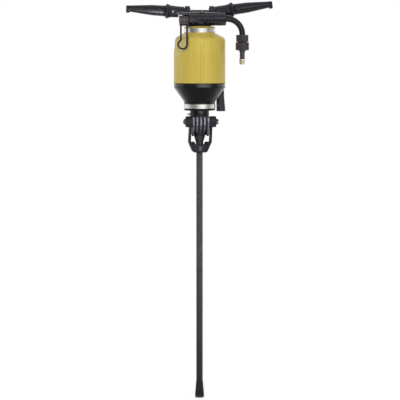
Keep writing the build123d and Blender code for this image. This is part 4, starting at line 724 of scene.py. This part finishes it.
def backhead():
    casting = Form("backhead")
    for k in range(CHEST_RODS):
        lean = math.radians(90 - CHEST_ARC * k / (CHEST_RODS - 1))
        y = CHEST_Y - CHEST_ARC_R * math.cos(lean)
        z = CHEST_ARC_Z - CHEST_ARC_R * math.sin(lean)
        casting.rod((CHEST_LEFT, y, z), (CHEST_RIGHT, y, z), CHEST_ROD_R)
    casting.slab((CHEST_LEFT, CHEST_Y - 25, LINE_LOW), (CHEST_RIGHT, CHEST_Y - 20, LINE_TOP))
    casting.slab((CHEST_RIGHT - 1, CHEST_Y - 26, LINE_LOW), (CHEST_END, CHEST_Y - 24, LINE_TOP))
    casting.ring((CHEST_LEFT - 2, CHEST_Y, CHEST_Z), (CHEST_LEFT + 3, CHEST_Y, CHEST_Z),
                 PLUG_RING_R, PLUG_RING_BORE_R)
    casting.slab((CHEST_LEFT, CHEST_Y - BELLY_HALF, BELLY_LOW),
                 (CHEST_RIGHT + 1, CHEST_Y + BELLY_HALF, BELLY_TOP))
    for x in (-FOOT_X, FOOT_X):
        casting.slab((x - FOOT_HALF, FOOT_FRONT, FOOT_LOW), (x + FOOT_HALF, FOOT_BACK, FOOT_TOP))
    piece = casting.skin("backhead_casting", voxel=1.1, passes=5)
    clear_bore(piece, (0, CHEST_Y, CHEST_Z), (1, 0, 0), *PLUG_BORE)
    seat(piece, "machine", "backhead")
    add_finish(piece, "machined_iron", on_pad_edge)
    # Painted shade: the casting under the throttle chest takes a darker black
    add_finish(piece, "oily_black", under_chest)


backhead()

# Handle arms and grips: bosses round the cross pins, mould lines along the sides
Arm = namedtuple("Arm", "name side tilt pin")
LEFT_ARM = Arm("left", -1, math.radians(4.0), 55.5)
RIGHT_ARM = Arm("right", 1, math.radians(7.8), 61.5)
ARM_X, ARM_Z = 46.0, PAD_TOP - 2
BOSS_R, BOSS_BORE_R, BOSS_IN, BOSS_OUT = 9.5, 5.6, 17, 22.4
ARM_LINE, ARM_LINE_R = ((18, 20.8), (62, 22.3)), 0.8
GUARD_LOW, GUARD_TOP, GUARD_R, GUARD_BORE_R = 88.5, 92, 21.0, 15.0
GRIP_LINE, GRIP_LINE_R = ((93, 19.6), (140, 19.0)), 0.9
PIN_PLUG_R, PIN_PLUG_HALF = 4.4, 13


def on_arm(arm, along, aside=0.0, up=0.0):
    """Point beside the axis of a handle arm, along it from its root."""
    return (arm.side * (ARM_X + along * math.cos(arm.tilt) - up * math.sin(arm.tilt)), aside,
            ARM_Z + along * math.sin(arm.tilt) + up * math.cos(arm.tilt))


def handle_arm(arm):
    casting = Form(arm.name + "_arm")
    for face in (-1, 1):
        start, end = (on_arm(arm, arm.pin, face * aside) for aside in (BOSS_IN, BOSS_OUT))
        casting.ring(start, end, BOSS_R, BOSS_BORE_R)
        start, end = (on_arm(arm, along, face * aside) for along, aside in ARM_LINE)
        casting.rod(start, end, ARM_LINE_R, sides=12)
    seat(casting.skin(arm.name + "_arm_casting", voxel=0.9, passes=5), "machine", arm.name + "_arm")


def handle_grip(arm):
    grip = Form(arm.name + "_grip")
    grip.ring(on_arm(arm, GUARD_LOW), on_arm(arm, GUARD_TOP), GUARD_R, GUARD_BORE_R)
    for face in (-1, 1):
        start, end = (on_arm(arm, along, up=face * up) for along, up in GRIP_LINE)
        grip.rod(start, end, GRIP_LINE_R, sides=12)
    seat(grip.skin(arm.name + "_grip_rubber", voxel=0.6, passes=40), "machine", arm.name + "_grip")


def plugged_pin(arm):
    """Hollow cross pin with its bore plugged, except near the ends."""
    pin = Form(arm.name + "_grip_pin")
    pin.rod(on_arm(arm, arm.pin, -PIN_PLUG_HALF), on_arm(arm, arm.pin, PIN_PLUG_HALF), PIN_PLUG_R)
    seat(pin.skin(arm.name + "_pin_plugged", voxel=0.5, passes=3), "machine", arm.name + "_grip_pin")


for arm in (LEFT_ARM, RIGHT_ARM):
    handle_arm(arm)
    handle_grip(arm)
plugged_pin(RIGHT_ARM)

# Front head: its rib crests are hollowed away from the height of the retainer's bolt
RIB_Y, RIB_FULL_Y, RIB_HALF = 54, 58, 20
RIB_HOLLOW, RIB_HOLLOW_AT = 5.0, 18
SLEEVE_BORE, NOSE_BORE = (30.05, 1104, 1121), (18.93, 1000, 1007)


def front_head():
    piece = Form("front_head").skin("front_head_casting", voxel=1.0, passes=6)
    for vertex in piece.data.vertices:
        place = vertex.co / MM
        if place.y < -RIB_Y and abs(place.z - PIVOT_Z) < RIB_HALF:
            share = smooth_step(-place.y, RIB_Y, RIB_FULL_Y)
            vertex.co.y += RIB_HOLLOW * MM * share * ((place.z - PIVOT_Z) / RIB_HOLLOW_AT) ** 2
    for bore in (SLEEVE_BORE, NOSE_BORE):
        clear_bore(piece, (0, 0, 0), (0, 0, 1), *bore)
    seat(piece, "machine", "front_head")


front_head()

# Retainer yoke: bright nub at its front, lumps in its inner corners
NUB, NUB_SIZE = Vector((0, -28, 950)), (8, 8.5, 10.5)
NUB_FACE, NUB_WIDE, NUB_TALL = NUB.y - 2.8, 7.6, 10
LUMP_X, LUMP_Y, LUMP_Z, LUMP_SIZE = 25.5, -6, 968, (8.5, 14, 8.5)
BOLT_BORE = (8.05, -58, 58)


def on_nub(place):
    return place.y < NUB_FACE and math.hypot(place.x / NUB_WIDE, (place.z - NUB.z) / NUB_TALL) < 1


def retainer_yoke():
    yoke = Form("retainer_yoke")
    yoke.ball(NUB, NUB_SIZE)
    for side in (-1, 1):
        yoke.ball((side * LUMP_X, LUMP_Y, LUMP_Z), LUMP_SIZE)
    piece = yoke.skin("retainer_forging", voxel=0.9, passes=14)
    clear_bore(piece, (0, PIVOT_Y, PIVOT_Z), (1, 0, 0), *BOLT_BORE)
    seat(piece, "retainer", "retainer_yoke")
    add_finish(piece, "nub_steel", on_nub)


retainer_yoke()

# Hose nipple: blackened stem, zinc plated barb at its end
PIPE_X, PIPE_Y, _ = mounts["hose_nipple"]
NIPPLE_LOW = box_mm("hose_nipple")[0][2]
NIPPLE_BORE_R, FLANGE_R, COLLAR_R, STEM_R, BARB_R = 7.5, 17.9, 13.9, 9.4, 11.9
BARB_TOP = 20.8


def hose_nipple():
    """Nipple turned from its section: radius, height above the lower end, rounding."""
    section = rounded_line([
        (NIPPLE_BORE_R, 65.9, 0), (FLANGE_R, 65.9, 0.4), (FLANGE_R, 62.1, 0.4), (COLLAR_R, 62.1, 0.4),
        (COLLAR_R, 54.2, 0.6), (STEM_R + 0.2, 45.8, 2), (STEM_R, 21.9, 0.6), (BARB_R - 0.3, 19.9, 0.5),
        (BARB_R, 17.9, 0.6), (STEM_R + 1, 1.5, 0.8), (STEM_R, 0.1, 0.3), (NIPPLE_BORE_R, 0.1, 0)], step=1.2)
    nipple = Form()
    nipple.lathe(section, Matrix.Translation((PIPE_X, PIPE_Y, NIPPLE_LOW)), sides=72)
    piece = nipple.object("hose_nipple_barb")
    seat(piece, "inlet", "hose_nipple", "black_nuts")
    add_finish(piece, "zinc_steel", lambda place: place.z < NIPPLE_LOW + BARB_TOP)


hose_nipple()


# Studio: directions are parts of a length of one, and each pair runs from the start of a change to its end
LAMP_COLOUR = (0.96, 0.975, 1.0)
PANEL_TURN = math.radians(14)
PANEL_LOW, PANEL_HIGH, PANEL_SIDE = (-0.2, -0.06), (0.55, 0.3), (0.78, 0.93)
PANEL_CLIMB, PANEL_LEVELS = (-0.1, 0.35), (1.2, 3.4)
BACKDROP_EDGE = (-0.35, 0.1)
CEILING_EDGE, CEILING_LEVELS = (0.5, 0.9), (0.25, 0.7)
ROOM_EDGE, ROOM_LEVELS = (0.2, 0.95), (0.6, 0.36)
FLOOR_REACH = 1.6
FLOOR_DROP = 0.0004
FLOOR_FILL = 0.56
FLOOR_FADE = (0.2, 1.2)


def aim(obj, target):
    obj.rotation_euler = (Vector(target) - obj.location).to_track_quat("-Z", "Y").to_euler()


def softbox(name, place, target, width, height, power):
    light = bpy.data.lights.new(name, "AREA")
    light.shape = "RECTANGLE"
    light.size = width
    light.size_y = height
    light.energy = power
    light.color = LAMP_COLOUR
    obj = bpy.data.objects.new(name, light)
    scene.collection.objects.link(obj)
    obj.location = place
    aim(obj, target)
    return obj


# The lamps give the even light. The panel of the world and a small narrow lamp give the gloss
for lamp in (softbox("key_light", (-0.4, -3.25, 2.5), (0, 0, 1.25), 0.4, 0.35, 52),
             softbox("left_strip", (-1.1, -2.9, 2.3), (0, 0, 1.1), 0.7, 1.7, 16),
             softbox("right_strip", (1.9, -2.4, 2.4), (0, 0, 1.1), 1.0, 1.8, 13),
             softbox("back_left", (-2.4, 2.2, 2.3), (0, 0, 1.1), 1.4, 1.6, 26),
             softbox("back_right", (2.2, 2.4, 2.3), (0, 0, 1.1), 1.4, 1.6, 26)):
    lamp.visible_glossy = False
glint = softbox("grip_glint", (-0.122, -0.592, 1.066), (-0.17, -0.018, 1.465), 0.14, 0.26, 0.16)
glint.data.spread = math.radians(24)
glint.visible_diffuse = False
glint.visible_camera = False


def seen_directly(graph):
    """1 for camera, glossy and transmission rays: those show the white background."""
    path = graph.add("ShaderNodeLightPath").outputs
    mirrored = graph.larger(path["Is Glossy Ray"], path["Is Transmission Ray"])
    return graph.larger(path["Is Camera Ray"], mirrored)


def white_studio():
    """White backdrop behind the object, dim front with a bright panel for gloss, even light for the rest."""
    world = bpy.data.worlds.new("studio")
    scene.world = world
    world.use_nodes = True
    world.node_tree.nodes.clear()
    sky = Graph(world.node_tree)
    direction = sky.add("ShaderNodeTexCoord").outputs["Generated"]
    axes = sky.axes(direction)
    across = sky.dot(direction, (math.sin(PANEL_TURN), -math.cos(PANEL_TURN), 0))
    panel = sky.times(sky.spread(axes["Z"], *PANEL_LOW), sky.spread(axes["Z"], *PANEL_HIGH))
    panel = sky.times(panel, sky.spread(across, *PANEL_SIDE))
    panel = sky.times(panel, sky.spread(axes["Z"], *PANEL_CLIMB, *PANEL_LEVELS))
    backdrop = sky.spread(axes["Y"], *BACKDROP_EDGE)
    ceiling = sky.spread(axes["Z"], *CEILING_EDGE, *CEILING_LEVELS)
    mirrored = sky.larger(sky.larger(panel, ceiling), backdrop)
    even = sky.spread(axes["Z"], *ROOM_EDGE, *ROOM_LEVELS)
    path = sky.add("ShaderNodeLightPath").outputs
    level = sky.add("ShaderNodeMix")
    sky.feed(level.inputs[0], sky.larger(path["Is Glossy Ray"], path["Is Transmission Ray"]))
    sky.feed(level.inputs[2], even)
    sky.feed(level.inputs[3], mirrored)
    light = sky.add("ShaderNodeBackground")
    sky.feed(light.inputs["Color"], sky.larger(level.outputs[0], path["Is Camera Ray"]))
    sky.feed(sky.add("ShaderNodeOutputWorld").inputs["Surface"], light.outputs[0])


def pale_floor():
    """Pale floor: near the object, part of its white is light that it takes, so it keeps the shadow."""
    mesh = bpy.data.meshes.new("floor")
    corners = [(x * FLOOR_REACH, y * FLOOR_REACH, 0) for x, y in ((-1, -1), (1, -1), (1, 1), (-1, 1))]
    mesh.from_pydata(corners, [], [(0, 1, 2, 3)])
    obj = bpy.data.objects.new("floor", mesh)
    obj.location.z = -FLOOR_DROP
    scene.collection.objects.link(obj)
    look = Shader("floor")
    look.finish((0.5, 0.5, 0.5, 1), 0.8, specular=0.1)
    distance = look.add("ShaderNodeVectorMath", operation="LENGTH")
    look.feed(distance.inputs[0], look.place)
    far = look.spread(distance.outputs["Value"], *FLOOR_FADE)
    glow = look.add("ShaderNodeEmission")
    look.feed(glow.inputs["Strength"], look.times(seen_directly(look), FLOOR_FILL))
    near = look.add("ShaderNodeAddShader")
    look.feed(near.inputs[0], look.bsdf.outputs[0])
    look.feed(near.inputs[1], glow.outputs[0])
    white = look.add("ShaderNodeEmission")
    mixed = look.add("ShaderNodeMixShader")
    look.feed(mixed.inputs[0], look.times(far, seen_directly(look)))
    look.feed(mixed.inputs[1], near.outputs[0])
    look.feed(mixed.inputs[2], white.outputs[0])
    look.feed(look.tree.nodes["Material Output"].inputs["Surface"], mixed.outputs[0])
    mesh.materials.append(look.material)


white_studio()
pale_floor()

# Camera: far off on the left of the front, above the middle of the object, which fills the frame's height
YAW = math.radians(6.0)
CAMERA_AWAY = 14.0
CAMERA_HEIGHT = 1.6
TARGET_ASIDE = 0.0018
TARGET_HEIGHT = 0.7536
FRAME_SIZE = 1.518
lens = bpy.data.cameras.new("camera")
camera = bpy.data.objects.new("camera", lens)
scene.collection.objects.link(camera)
camera.location = (-math.sin(YAW) * CAMERA_AWAY, -math.cos(YAW) * CAMERA_AWAY, CAMERA_HEIGHT)
target = Vector((TARGET_ASIDE * math.cos(YAW), TARGET_ASIDE * math.sin(YAW), TARGET_HEIGHT))
aim(camera, target)
lens.sensor_width = 36.0
lens.lens = lens.sensor_width * (target - camera.location).length / FRAME_SIZE
lens.clip_start = 0.1
lens.clip_end = 200.0
scene.camera = camera
scene.view_settings.view_transform = "Standard"
